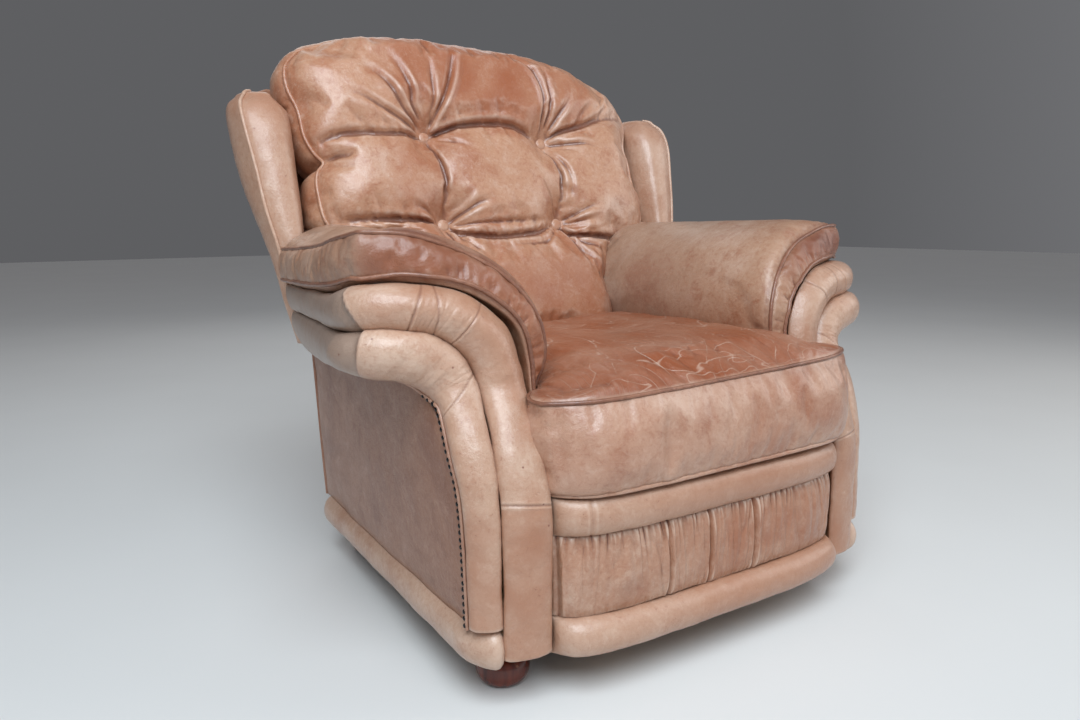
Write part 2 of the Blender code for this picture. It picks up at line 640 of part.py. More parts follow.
def nail_strip(name, side):
    """Black domed nails down the panel's front edge, joined by the gimp that they hold."""
    _, _, nailed, _, _ = arm_stations(1.0, 160)
    line = nailed[(nailed[:, 2] > NAILS_FROM) & (nailed[:, 2] < NAILS_TO) & (nailed[:, 1] < -0.29)]
    line = line + np.array(NAIL_OFFSET)
    count = int(np.linalg.norm(np.diff(line, axis=0), axis=1).sum() / NAIL_PITCH)
    line = smooth_through(line, count * 3 + 1)
    rings = []
    for i, point in enumerate(line):
        radius = NAIL_RADIUS if i % 3 else NAIL_RADIUS * 0.30
        ring = [(0.0, -radius), (radius * 0.55, -radius * 0.55), (radius * 0.55, radius * 0.55),
                (0.0, radius)]
        rings.append([((point[0] + dx) * side, point[1] + dy, point[2]) for dx, dy in ring])
    return place(name, skin(lidded_tube(rings)), "black_nails", smooth=False)


def outside_back():
    """The outside of the back: bowed across, reclined, and padded over the top rail."""
    a = np.linspace(-1, 1, 17)
    rear, front = [], []
    for z, half, edge in smooth_through(BACK_PANEL, 14):
        middle = max(REAR_Y, OUTSIDE_TOP_Y + RECLINE * (z - OUTSIDE_TOP_Z))
        y = middle - (middle - edge) * np.abs(a) ** 4
        rear.append(np.column_stack([half * a, y, np.full_like(a, z)]))
        over_rail = (z > TOP_RAIL_Z[1] + 0.03) * np.clip((0.84 - np.abs(a)) / 0.08, 0, 1)
        inside = y - PANEL_THICK
        inside = inside + over_rail * (frame_face(z) - 0.0045 - inside)
        front.append(np.column_stack([(half - 0.003) * a, inside, np.full_like(a, z)]))
    rear, front = np.array(rear), np.array(front)
    closed = [np.array([rear[:, k], front[:, k]]) for k in (0, -1)]
    closed += [np.array([rear[k], front[k]]) for k in (0, -1)]
    return place("outside_back", skin([rear, front, *closed]), "panel_leather")


# ---------------------------------------------------------------- frame and suspension


def board(name, low, high, finish="hardwood", edge=0.0):
    return place(name, box_mesh(low, high, edge), finish, smooth=False)


def shaped_board(name, x_range, stations, side=1.0, finish="hardwood"):
    """A board sawn to a leaning profile: stations of height, front and rear."""
    x0, x1 = x_range
    rings = [mirrored([(x0, front, z), (x1, front, z), (x1, rear, z), (x0, rear, z)], side)
             for z, front, rear in stations]
    return place(name, skin(lidded_tube(rings)), finish, smooth=False)


def frame_face(z):
    """How far back the front of the back frame lies at a height: just behind the cushion."""
    return BACK_Y + RECLINE * (z - BACK_Z) + BACK_THICK * math.hypot(1.0, RECLINE) + 0.008


def corner_block(name, corner, side, way):
    """A glued triangular block in a corner of the seat frame; the feet screw into these."""
    x, y = corner
    outline = [(x, y), (x, y + way * BLOCK_LEG), (x - BLOCK_LEG, y)]
    rings = [mirrored([(px, py, z) for px, py in outline], side)
             for z in (RAIL_BOTTOM, RAIL_BOTTOM + 0.06)]
    return place(name, skin(lidded_tube(rings)), "hardwood", smooth=False)


def zigzag_spring(name, x):
    """A sinuous steel spring, bent in flat loops from the front rail to the rear rail."""
    height = RAIL_TOP + SPRING_WIRE + CLEARANCE
    start, end = FRONT_RAIL_REAR - 0.026, REAR_RAIL_Y[1] - 0.008
    step = (end - start) / SPRING_TURNS
    path = [(x, start)]
    for turn in range(SPRING_TURNS):
        swing = SPRING_SWING if turn % 2 else -SPRING_SWING
        near = start + step * turn
        path += [(x + swing, near + step * 0.05), (x + swing, near + step * 0.95)]
    path.append((x, end))
    curve = bpy.data.curves.new(name, "CURVE")
    curve.dimensions = "3D"
    curve.bevel_depth = SPRING_WIRE
    curve.bevel_resolution = 0
    curve.use_fill_caps = True
    spline = curve.splines.new("POLY")
    spline.points.add(len(path) - 1)
    for point, (px, py) in zip(spline.points, path):
        point.co = (px, py, height, 1.0)
    spring = bpy.data.objects.new(name, curve)
    bpy.context.scene.collection.objects.link(spring)
    curve.materials.append(material("spring_steel"))


def front_rail():
    """The front rail, its face sawn to the bow of the front and set back behind the covers."""
    face = front_bow(13)
    run = unit(np.gradient(face, axis=0))
    face = face + np.stack([-run[:, 1], run[:, 0]], axis=1) * FRONT_PADDING
    rear = np.array([(face[-1, 0], FRONT_RAIL_REAR), (face[0, 0], FRONT_RAIL_REAR)])
    outline = np.vstack([face, rear])
    rings = [np.column_stack([outline, np.full(len(outline), z)]) for z in (RAIL_BOTTOM, RAIL_TOP)]
    place("front_rail", skin(lidded_tube(rings)), "hardwood", smooth=False)


def arm_frame(word, side):
    """The boards and posts of one arm, and the corner blocks that its feet screw into."""
    def across(span):
        return sorted(side * x for x in span)

    def beam(name, span, y, z, edge=0.002):
        low, high = across(span)
        board(f"{name}_{word}", (low, y[0], z[0]), (high, y[1], z[1]), edge=edge)

    beam("side_rail", SIDE_RAIL_X, (FRONT_RAIL_REAR + CLEARANCE, REAR_RAIL_Y[0] - CLEARANCE),
         (RAIL_BOTTOM, SIDE_RAIL_TOP))
    beam("arm_board", ARM_BOARD_X, ARM_BOARD_Y, ARM_BOARD_Z)
    beam("inside_arm", INSIDE_ARM_X, INSIDE_ARM_Y, (RAIL_TOP + CLEARANCE, 0.378), 0.0)
    shaped_board(f"front_post_{word}", POST_X, FRONT_POST, side)
    stations = [(RAIL_TOP + CLEARANCE, 0.180), (0.34, frame_face(0.34)),
                (TOP_RAIL_Z[1], frame_face(TOP_RAIL_Z[1]))]
    shaped_board(f"back_post_{word}", BACK_POST_X,
                 [(z, front, front + BACK_POST_DEEP) for z, front in stations], side)
    inside = SIDE_RAIL_X[0] - CLEARANCE
    corner_block(f"corner_block_front_{word}", (inside, FRONT_RAIL_REAR + CLEARANCE), side, 1)
    corner_block(f"corner_block_rear_{word}", (inside, REAR_RAIL_Y[0] - CLEARANCE), side, -1)


def frame_and_suspension():
    """The rails, the back webbing, the springs and what lies over and under them."""
    front_rail()
    board("rear_rail", (-SIDE_RAIL_X[1], REAR_RAIL_Y[0], RAIL_BOTTOM),
          (SIDE_RAIL_X[1], REAR_RAIL_Y[1], RAIL_TOP), edge=0.002)
    for word, side in (("left", -1.0), ("right", 1.0)):
        arm_frame(word, side)
    span = (-BACK_POST_X[0] + CLEARANCE, BACK_POST_X[0] - CLEARANCE)
    top = [(z, frame_face(z), frame_face(z) + BACK_POST_DEEP) for z in TOP_RAIL_Z]
    shaped_board("top_rail", span, top)
    for number, z in enumerate(WEBBING_Z, 1):
        strap = [(h, frame_face(h) + 0.005, frame_face(h) + 0.007)
                 for h in (z - WEBBING_WIDE / 2, z + WEBBING_WIDE / 2)]
        shaped_board(f"back_webbing_{number}", span, strap, finish="webbing")
    for number, x in enumerate(SPRING_XS, 1):
        zigzag_spring(f"zigzag_spring_{number}", x)
    board("seat_platform", (-0.225, -0.370, RAIL_TOP + 2 * SPRING_WIRE + 2 * CLEARANCE),
          (0.225, 0.195, SEAT_WELT_BOTTOM - 0.0046), "felt", edge=0.004)
    board("dust_cover", (-0.322, -0.352, RAIL_BOTTOM - 0.0022),
          (0.322, 0.203, RAIL_BOTTOM - CLEARANCE), "dust_cloth")


def main():
    clear_scene()
    for word, side in (("left", -1.0), ("right", 1.0)):
        roll = upper_roll(f"upper_roll_{word}", side)
        relieve(lower_roll(f"lower_roll_{word}", side), roll)
        arm_pad(f"arm_pad_{word}", side)
        wing(f"wing_{word}", side)
        base_roll(f"side_base_roll_{word}", side_base_path(side),
                  (0.020, (BASE_TOP - BASE_BOTTOM) / 2))
        side_panel(f"side_panel_{word}", side)
        nail_strip(f"nail_strip_{word}", side)
    arms = [bpy.data.objects[name] for name in
            ("arm_pad_left", "arm_pad_right", "upper_roll_left", "upper_roll_right")]
    seat = relieve(seat_cushion(), *arms, gap=PRESSED_GAP)
    buttons = [back_button(f"back_button_{number}", centre)
               for number, centre in enumerate(BUTTONS, 1)]
    relieve(back_cushion(), seat, *arms[:2], *buttons)
    front_band("front_border", BORDER_BAND, 0.018, "roll_leather")
    front_band("gathered_apron", APRON_BAND, 0.012, "seat_leather", pleat=0.0025, wide=57, tall=5)
    front_band("front_base_roll", BASE_BAND, 0.026, "roll_leather")
    rear = [(x, REAR_Y - 0.012, (BASE_BOTTOM + BASE_TOP) / 2) for x in np.linspace(0.328, -0.328, 5)]
    base_roll("rear_base_roll", rear, (0.016, (BASE_TOP - BASE_BOTTOM) / 2))
    outside_back()
    frame_and_suspension()
    for word, x, y in (("front_left", -FOOT_X, FOOT_FRONT_Y), ("front_right", FOOT_X, FOOT_FRONT_Y),
                       ("rear_left", -FOOT_X, FOOT_REAR_Y), ("rear_right", FOOT_X, FOOT_REAR_Y)):
        place(f"foot_{word}", turned(FOOT_PROFILE, (x, y, 0.0)), "dark_wood")


main()
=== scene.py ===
import math

import bmesh
import bpy
import numpy as np
from mathutils import Matrix, Vector, noise


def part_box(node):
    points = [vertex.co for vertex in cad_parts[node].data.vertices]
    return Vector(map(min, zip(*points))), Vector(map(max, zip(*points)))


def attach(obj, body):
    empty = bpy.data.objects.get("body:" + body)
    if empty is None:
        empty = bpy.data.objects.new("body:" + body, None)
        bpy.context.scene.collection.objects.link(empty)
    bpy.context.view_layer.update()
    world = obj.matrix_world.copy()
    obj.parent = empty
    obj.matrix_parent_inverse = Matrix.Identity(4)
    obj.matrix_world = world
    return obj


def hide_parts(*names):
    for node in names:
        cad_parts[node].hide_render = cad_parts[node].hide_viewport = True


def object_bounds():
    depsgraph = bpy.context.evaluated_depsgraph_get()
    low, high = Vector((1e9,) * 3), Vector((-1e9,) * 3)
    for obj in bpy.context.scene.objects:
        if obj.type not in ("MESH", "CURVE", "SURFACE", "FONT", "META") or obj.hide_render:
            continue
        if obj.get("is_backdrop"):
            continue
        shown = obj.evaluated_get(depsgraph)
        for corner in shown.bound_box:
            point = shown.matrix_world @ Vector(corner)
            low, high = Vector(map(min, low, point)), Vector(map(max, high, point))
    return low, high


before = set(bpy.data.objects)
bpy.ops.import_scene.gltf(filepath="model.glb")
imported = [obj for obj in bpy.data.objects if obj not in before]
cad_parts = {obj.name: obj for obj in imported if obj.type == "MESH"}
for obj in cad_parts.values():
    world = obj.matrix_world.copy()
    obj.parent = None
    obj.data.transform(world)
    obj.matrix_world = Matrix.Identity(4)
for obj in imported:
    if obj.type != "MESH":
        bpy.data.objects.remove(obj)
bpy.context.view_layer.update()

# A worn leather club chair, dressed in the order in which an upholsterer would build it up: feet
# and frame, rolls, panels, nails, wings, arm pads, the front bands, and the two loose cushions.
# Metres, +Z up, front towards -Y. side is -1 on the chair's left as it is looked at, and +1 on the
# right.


# ---------------------------------------------------------------- Bun feet
# Four bun feet, turned in dark red hardwood and polished to a deep gloss. A dowel screw holds each
# one to a glued corner block of the seat frame.

SIDES = (("left", -1.0), ("right", 1.0))
# Radius and height of a foot's outline, as shares of its widest radius and of its height
FOOT_SHAPE = [(0.54, 0.0), (0.78, 0.05), (0.95, 0.22), (1.00, 0.42), (0.95, 0.62), (0.80, 0.76),
              (0.66, 0.82), (0.72, 0.88), (0.80, 0.94), (0.80, 1.0)]
FOOT_STEPS, FOOT_AROUND = 60, 48


class Number:
    """What a socket gives, so that sums on it can be written as Python sums."""

    def __init__(self, finish, socket):
        self.finish = finish
        self.socket = socket

    def maths(self, operation, *terms):
        return self.finish.node("ShaderNodeMath", {"operation": operation}, dict(enumerate(terms)))

    def __add__(self, other):
        return self.maths("ADD", self, other)

    def __sub__(self, other):
        return self.maths("SUBTRACT", self, other)

    def __rsub__(self, other):
        return self.maths("SUBTRACT", other, self)

    def __mul__(self, other):
        return self.maths("MULTIPLY", self, other)

    def __abs__(self):
        return self.maths("ABSOLUTE", self)

    __radd__ = __add__
    __rmul__ = __mul__


class Finish:
    """One material, with the nodes that its look is worked out from."""

    def __init__(self, name, made=None, shader="Principled BSDF"):
        self.made = made or bpy.data.materials.new(name)
        self.made.use_nodes = True
        self.tree = self.made.node_tree
        self.shader = self.tree.nodes[shader]

    def feed(self, socket, value):
        if isinstance(value, Number):
            self.tree.links.new(value.socket, socket)
        elif isinstance(value, tuple) and socket.type == "RGBA":
            socket.default_value = (*value, 1.0)
        else:
            socket.default_value = value

    def node(self, kind, settings=None, sockets=None, out=0):
        """Add a node: its own settings first, then the values or links of its sockets."""
        made = self.tree.nodes.new(kind)
        for name, value in (settings or {}).items():
            setattr(made, name, value)
        for name, value in (sockets or {}).items():
            self.feed(made.inputs[name], value)
        return Number(self, made.outputs[out])

    def place(self, stretch=(1.0, 1.0, 1.0)):
        """Where a point of the surface lies, in metres, stretched along the axes."""
        point = self.node("ShaderNodeTexCoord", out="Object")
        return self.node("ShaderNodeVectorMath", {"operation": "MULTIPLY"}, {0: point, 1: stretch})

    def cloud(self, place, scale, detail=3.0, rough=0.55, swirl=0.0):
        return self.node("ShaderNodeTexNoise", None,
                         {"Vector": place, "Scale": scale, "Detail": detail, "Roughness": rough,
                          "Distortion": swirl}, out="Fac")

    def step(self, value, start, end):
        """0 below start, 1 above end, and a smooth change between them."""
        return self.node("ShaderNodeMapRange", {"interpolation_type": "SMOOTHSTEP"},
                         {"Value": value, "From Min": start, "From Max": end})

    def blend(self, first, second, share):
        return self.node("ShaderNodeMix", {"data_type": "RGBA"}, {0: share, 6: first, 7: second},
                         out=2)

    def relief(self, height, depth):
        return self.node("ShaderNodeBump", None,
                         {"Height": height, "Distance": depth, "Strength": 1.0})

    def shade(self, sockets):
        for name, value in sockets.items():
            self.feed(self.shader.inputs[name], value)
        return self.made


def lengthwise(points):
    """How far along a line of points each one lies."""
    return np.r_[0, np.cumsum(np.linalg.norm(np.diff(points, axis=0), axis=1))]


def evenly(points, count):
    """Points spaced evenly along a line that is already smooth."""
    along = lengthwise(points)
    at = np.linspace(0, along[-1], count)
    return np.stack([np.interp(at, along, column) for column in points.T], axis=1)


def smooth_through(points, count):
    """Evenly spaced points on a smooth curve through the given ones, whatever their width."""
    p = np.array(points, float)
    p = np.vstack([2 * p[0] - p[1], p, 2 * p[-1] - p[-2]])
    steps = np.linspace(0, 1, 16, endpoint=False)[:, None]
    fine = []
    for a, b, c, d in zip(p, p[1:], p[2:], p[3:]):
        fine.append(0.5 * (2 * b + (c - a) * steps + (2 * a - 5 * b + 4 * c - d) * steps ** 2
                           + (3 * b - a - 3 * c + d) * steps ** 3))
    return evenly(np.vstack(fine + [p[-2:-1]]), count)


def full_turn(steps):
    """Angles once round, with the first one again at the end."""
    return np.linspace(0, 2 * math.pi, steps + 1)


def sew(name, patches):
    """One mesh from grids of points whose borders coincide, and each grid's vertex numbers."""
    points = np.vstack([grid.reshape(-1, 3) for grid in patches])
    _, first, where = np.unique(np.round(points * 1e5).astype(int), axis=0,
                                return_index=True, return_inverse=True)
    where = where.ravel()
    faces, numbers, start = [], [], 0
    for grid in patches:
        rows, columns = grid.shape[:2]
        index = where[start:start + rows * columns].reshape(rows, columns)
        start += rows * columns
        numbers.append(index)
        quads = np.stack([index[:-1, :-1], index[:-1, 1:], index[1:, 1:], index[1:, :-1]], -1)
        for quad in quads.reshape(-1, 4).tolist():
            corners = list(dict.fromkeys(quad))
            if len(corners) > 2:
                faces.append(corners)
    mesh = bpy.data.meshes.new(name)
    mesh.from_pydata(points[first].tolist(), [], faces)
    shell = bmesh.new()
    shell.from_mesh(mesh)
    bmesh.ops.recalc_face_normals(shell, faces=shell.faces)
    shell.to_mesh(mesh)
    shell.free()
    mesh.shade_smooth()
    piece = bpy.data.objects.new(name, mesh)
    bpy.context.scene.collection.objects.link(piece)
    return piece, numbers


def fit(piece, material, slot, *nodes):
    """Finish a piece and fix it to the chair, in place of the solids that it stands for."""
    piece.data.materials.clear()
    piece.data.materials.append(material)
    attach(piece, "root")
    if nodes:
        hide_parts(*nodes)
    return piece


def polished_wood():
    """Red mahogany under a hard shine, chipped to the bare wood in small spots."""
    wood = Finish("polished_mahogany")
    streak = wood.cloud(wood.place((90.0, 90.0, 9.0)), 1.0, detail=4.0, swirl=0.4)
    chip = wood.step(wood.cloud(wood.place(), 75.0, detail=4.0), 0.66, 0.72)
    colour = wood.blend((0.065, 0.010, 0.006), (0.150, 0.028, 0.014), wood.step(streak, 0.3, 0.7))
    colour = wood.blend(colour, (0.20, 0.07, 0.03), chip)
    return wood.shade({"Base Color": colour, "Roughness": 0.10 + streak * 0.10 + chip * 0.35,
                       "Normal": wood.relief(streak, 0.0002)})


mahogany = polished_wood()
for end in ("front", "rear"):
    for word, side in SIDES:
        low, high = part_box(f"foot_{end}_{word}")
        middle = (low + high) / 2
        radius = (high.x - low.x) / 2
        turn = full_turn(FOOT_AROUND)
        profile = smooth_through([(0.0, 0.0), *FOOT_SHAPE, (0.0, 1.0)], FOOT_STEPS)
        rings = [np.stack([middle.x + radius * r * np.cos(turn),
                           middle.y + radius * r * np.sin(turn),
                           np.full_like(turn, low.z + (high.z - low.z) * np.clip(h, 0, 1))], axis=1)
                 for r, h in profile]
        foot, _ = sew(f"bun_foot_{end}_{word}", [np.array(rings)])
        fit(foot, mahogany, "dark_wood", f"foot_{end}_{word}")


# ---------------------------------------------------------------- Frame, springs and webbing
# A glued hardwood frame, zigzag springs nailed to its rails, jute webbing across the back, and felt
# over the springs. They stay as the solids are made, and get their finishes here.


def sawn_wood():
    wood = Finish("sawn_hardwood")
    ring = wood.cloud(wood.place((12.0, 60.0, 12.0)), 1.0, detail=5.0, swirl=1.2)
    fleck = wood.cloud(wood.place((60.0, 500.0, 60.0)), 1.0, detail=3.0)
    colour = wood.blend((0.30, 0.17, 0.08), (0.52, 0.34, 0.19), wood.step(ring, 0.3, 0.7))
    return wood.shade({"Base Color": wood.blend(colour, (0.24, 0.13, 0.06), fleck * 0.4),
                       "Roughness": 0.60 + fleck * 0.2, "Normal": wood.relief(fleck, 0.0004)})


def spring_steel():
    steel = Finish("blued_spring_steel")
    rust = steel.step(steel.cloud(steel.place(), 60.0, detail=5.0), 0.52, 0.68)
    return steel.shade({"Base Color": steel.blend((0.26, 0.27, 0.29), (0.17, 0.06, 0.02), rust),
                        "Metallic": 1.0 - rust, "Roughness": 0.34 + rust * 0.5})


def woven(name, dark, light, threads, depth):
    """A plain weave of two tones, with so many threads to the metre."""
    cloth = Finish(name)
    warp = cloth.node("ShaderNodeTexWave", {"wave_type": "BANDS", "bands_direction": "X"},
                      {"Vector": cloth.place(), "Scale": threads / 20, "Distortion": 0.8,
                       "Detail": 1.0}, out="Fac")
    weft = cloth.node("ShaderNodeTexWave", {"wave_type": "BANDS", "bands_direction": "DIAGONAL"},
                      {"Vector": cloth.place((0.0, 1.0, 1.0)), "Scale": threads / 20,
                       "Distortion": 0.8, "Detail": 1.0}, out="Fac")
    fluff = cloth.cloud(cloth.place(), 40.0, detail=5.0)
    weave = warp * weft
    return cloth.shade({"Base Color": cloth.blend(dark, light, weave * 0.6 + fluff * 0.4),
                        "Roughness": 0.85 + fluff * 0.1, "Normal": cloth.relief(weave, depth)})


INSIDE_FINISHES = [
    (sawn_wood(), "hardwood", ("front_rail", "rear_rail", "side_rail", "top_rail", "front_post",
                               "back_post", "arm_board", "inside_arm", "corner_block")),
    (spring_steel(), "spring_steel", ("zigzag_spring",)),
    (woven("jute_webbing", (0.10, 0.07, 0.04), (0.34, 0.26, 0.16), 500, 0.0012), "webbing",
     ("back_webbing",)),
    (woven("grey_felt", (0.13, 0.12, 0.11), (0.26, 0.24, 0.22), 900, 0.0006), "felt",
     ("seat_platform",)),
    (woven("black_dust_cloth", (0.012, 0.012, 0.013), (0.05, 0.05, 0.05), 800, 0.0004),
     "dust_cloth", ("dust_cover",)),
]
for material, slot, starts in INSIDE_FINISHES:
    for node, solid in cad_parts.items():
        if node.startswith(starts):
            solid.material_slots[0].material = material


# ---------------------------------------------------------------- Padded rolls along the base
# A roll of pale tan leather over a wadding core runs along the bottom of both sides, the back and
# the front. It is tacked up behind the panels and rounded at the corners by the front columns.

BASE_MIDDLE = 0.0798
BASE_TALL = 0.0272
BASE_DEEP = 0.0200
BASE_END = 0.012
BASE_STEPS, BASE_AROUND = 170, 28
BASE_CORNER = [(0.355, 0.224), (0.355, -0.10), (0.355, -0.30), (0.354, -0.345), (0.347, -0.366),
               (0.338, -0.379), (0.327, -0.386)]
REAR_BASE = (0.328, 0.224, 0.016)


def unit(v):
    return v / np.maximum(np.linalg.norm(v, axis=-1, keepdims=True), 1e-9)


def read(piece, what="co"):
    """Every vertex's place, or its normal, as an array."""
    mesh = piece.data
    values = np.empty(len(mesh.vertices) * 3, np.float32)
    source = mesh.vertices if what == "co" else mesh.vertex_normals
    source.foreach_get("co" if what == "co" else "vector", values)
    return values.reshape(-1, 3).astype(float)


def write(piece, points):
    piece.data.vertices.foreach_set("co", np.asarray(points, np.float32).ravel())
    piece.data.update()


def wander(points, size, seed=0.0):
    """Smooth noise from -1 to 1 that changes over a distance of size."""
    return np.array([noise.noise(Vector(point / size) + Vector((seed, 0.0, 0.0)))
                     for point in points])


def swell(piece, amount):
    """Move every vertex out along its normal by its own amount."""
    write(piece, read(piece) + read(piece, "normal") * np.asarray(amount)[:, None])


def slacken(piece, *waves):
    """Uneven wadding under a cover: waves of (size, height, seed)."""
    points = read(piece)
    swell(piece, sum(wander(points, size, seed) * height for size, height, seed in waves))


def mark_folds(piece, reach=0.010):
    """Store where the cover is pinched in (below 0) or stands out in a ridge (above 0)."""
    mesh = piece.data
    points, normals = read(piece), read(piece, "normal")
    edges = np.empty(len(mesh.edges) * 2, np.int32)
    mesh.edges.foreach_get("vertices", edges)
    a, b = edges.reshape(-1, 2).T
    count = np.bincount(np.r_[a, b], minlength=len(points)).clip(1)

    def around(values):
        return np.stack([np.bincount(np.r_[a, b], np.r_[column[b], column[a]], len(points)) / count
                         for column in values.T], axis=1)

    length = np.linalg.norm(points[a] - points[b], axis=1) ** 2
    spread = np.bincount(np.r_[a, b], np.r_[length, length], len(points)) / count
    bend = ((points - around(points)) * normals).sum(axis=1) * 2 / spread.clip(1e-9)
    for _ in range(2):
        bend = bend * 0.4 + around(bend[:, None])[:, 0] * 0.6
    store(piece, "fold", np.clip(bend * reach, -1, 1))


def store(piece, name, values):
    layer = piece.data.attributes.get(name) or piece.data.attributes.new(name, "FLOAT", "POINT")
    layer.data.foreach_set("value", np.asarray(values, np.float32))


def leather(name, tan, deep, pale, mottle=0.5, gloss=0.36, lines=0.0, ridge_rub_and_highlight=0.5, spots=0.4,
            wax=0.34):
    """Waxed hide in three linear colours: its ground, where it is deeper, and where it is pale.

    mottle is how clouded its dye is, ridge_rub_and_highlight how pale its ridges are painted, as
    rub wear and as a painted highlight, spots how dark its flecks are, and lines how far pale rub
    lines show where it is worn.
    """
    hide = Finish(name)
    place = hide.place()
    cloud = hide.cloud(place, 5.5, detail=5.0, rough=0.62, swirl=0.4)
    blotch = hide.cloud(place, 27.0, detail=8.0, rough=0.72, swirl=0.5)
    fleck = hide.cloud(place, 150.0, detail=5.0, rough=0.75, swirl=0.6)
    fold, burnish, wear_and_shade, dull = (
        hide.node("ShaderNodeAttribute", {"attribute_name": word}, out="Fac")
        for word in ("fold", "burnish", "wear_and_shade", "dull"))
    grain = hide.node("ShaderNodeTexVoronoi", {"feature": "F1"},
                      {"Vector": place, "Scale": 560.0}, out="Distance")
    pebble = hide.node("ShaderNodeTexVoronoi", {"feature": "SMOOTH_F1"},
                       {"Vector": place, "Scale": 210.0}, out="Distance")
    dot = hide.node("ShaderNodeTexVoronoi", {"feature": "F1"},
                    {"Vector": place, "Scale": 46.0}, out="Distance")
    dot = hide.step(dot, 0.085, 0.045) * hide.step(hide.cloud(place, 16.0), 0.50, 0.58)

    colour = hide.blend(tan, deep, hide.step(cloud, 0.51, 0.66) * mottle * 0.9)
    colour = hide.blend(colour, pale, hide.step(cloud, 0.48, 0.34) * mottle * 0.8)
    # The stored share deepens the colour where the hide is worn, and where shade is painted on it
    colour = hide.blend(colour, deep, wear_and_shade)
    for noise_at, share in ((blotch, 0.75), (fleck, 0.55)):
        colour = hide.blend(colour, deep, hide.step(noise_at, 0.51, 0.65) * mottle * share)
        rub = hide.step(noise_at, 0.48, 0.35) * (1.0 - wear_and_shade * 0.85)
        colour = hide.blend(colour, pale, rub * mottle * share * 0.7)
    colour = hide.blend(colour, (0.275, 0.190, 0.145), dull)
    # Creases are painted darker, as the shade in them, and ridges paler, partly as rub wear and
    # partly as a painted highlight
    colour = hide.blend(colour, pale, hide.step(fold, 0.08, 0.80) * ridge_rub_and_highlight)
    colour = hide.blend(colour, (0.13, 0.038, 0.020), hide.step(fold, -0.05, -0.80) * 0.80)
    colour = hide.blend(colour, (0.125, 0.036, 0.020), burnish)
    speck = hide.step(fleck, 0.62, 0.68) * hide.step(blotch, 0.47, 0.60) * 0.8 + dot
    colour = hide.blend(colour, (0.17, 0.045, 0.025), speck * spots)
    height = grain * 0.22 + pebble * 0.30 + fleck * 0.70 + blotch * 1.2
    if lines:
        rubs = hide.cloud(hide.place((1.0, 0.22, 1.0)), 5.0, detail=1.0, swirl=0.3)
        rows = hide.node("ShaderNodeMath", {"operation": "PINGPONG"}, {0: rubs * 34.0, 1: 0.5})
        crossing = hide.cloud(hide.place((0.35, 1.0, 1.0)), 13.0, detail=2.0, swirl=0.4)
        line = (hide.step(rows, 0.036, 0.0) * hide.step(blotch, 0.43, 0.52)
                + hide.step(abs(crossing - 0.5), 0.005, 0.0) * 0.7) * wear_and_shade * lines
        colour = hide.blend(colour, pale, line)
        height = height - line * 0.8
    return hide.shade({"Base Color": colour,
                       "Roughness": gloss + (blotch - 0.5) * 0.30 + (fleck - 0.5) * 0.10,
                       "Specular IOR Level": 0.55, "Coat Weight": wax, "Coat Roughness": 0.20,
                       "Normal": hide.relief(height, 0.0009)})


roll_leather = leather("pale_roll_leather", (0.510, 0.312, 0.215), (0.380, 0.170, 0.095),
                       (0.670, 0.495, 0.385), mottle=0.55, spots=0.80)


def rings_along(path, out, wide, tall):
    """Upright oval rings round a path, which close into a tube."""
    turn = full_turn(BASE_AROUND)
    up = np.array([0.0, 0.0, 1.0])
    return np.array([p + np.cos(turn)[:, None] * o * w + np.sin(turn)[:, None] * up * t
                     for p, o, w, t in zip(path, out, wide, tall)])


def capped(rings):
    """The rings with a point at either end, so that they close."""
    first = np.repeat(rings[0][:-1].mean(axis=0)[None], rings.shape[1], axis=0)
    last = np.repeat(rings[-1][:-1].mean(axis=0)[None], rings.shape[1], axis=0)
    return np.concatenate([first[None], rings, last[None]])


def base_roll(name, path, deep, node):
    """One roll of the base, rounded over at its two ends."""
    path = smooth_through(path, BASE_STEPS)
    path = np.column_stack([path, np.full(len(path), BASE_MIDDLE)])
    along = unit(np.gradient(path, axis=0))
    out = unit(np.cross(along, [0.0, 0.0, 1.0]))
    travelled = lengthwise(path)
    end = np.minimum(travelled, travelled[-1] - travelled) / BASE_END
    size = np.sqrt(np.clip(1 - (1 - np.clip(end, 0, 1)) ** 2, 0.02, 1))
    piece, _ = sew(name, [capped(rings_along(path, out, size * deep, size * BASE_TALL))])
    slacken(piece, (0.055, 0.0013, 3.1), (0.016, 0.0004, 7.7))
    mark_folds(piece)
    fit(piece, roll_leather, "roll_leather", node)


for word, side in SIDES:
    base_roll(f"base_roll_{word}", np.array(BASE_CORNER) * [side, 1.0], BASE_DEEP,
              f"side_base_roll_{word}")
rear_half, rear_y, rear_deep = REAR_BASE
base_roll("base_roll_rear", [(rear_half, rear_y), (0.0, rear_y), (-rear_half, rear_y)], rear_deep,
          "rear_base_roll")


# ---------------------------------------------------------------- Rolls of the arms
# Two stuffed leather rolls go up the front of each arm as columns, turn over in a scroll and run
# back along the side. They are sewn to each other in the groove, and the upper one to the pad's
# welt.

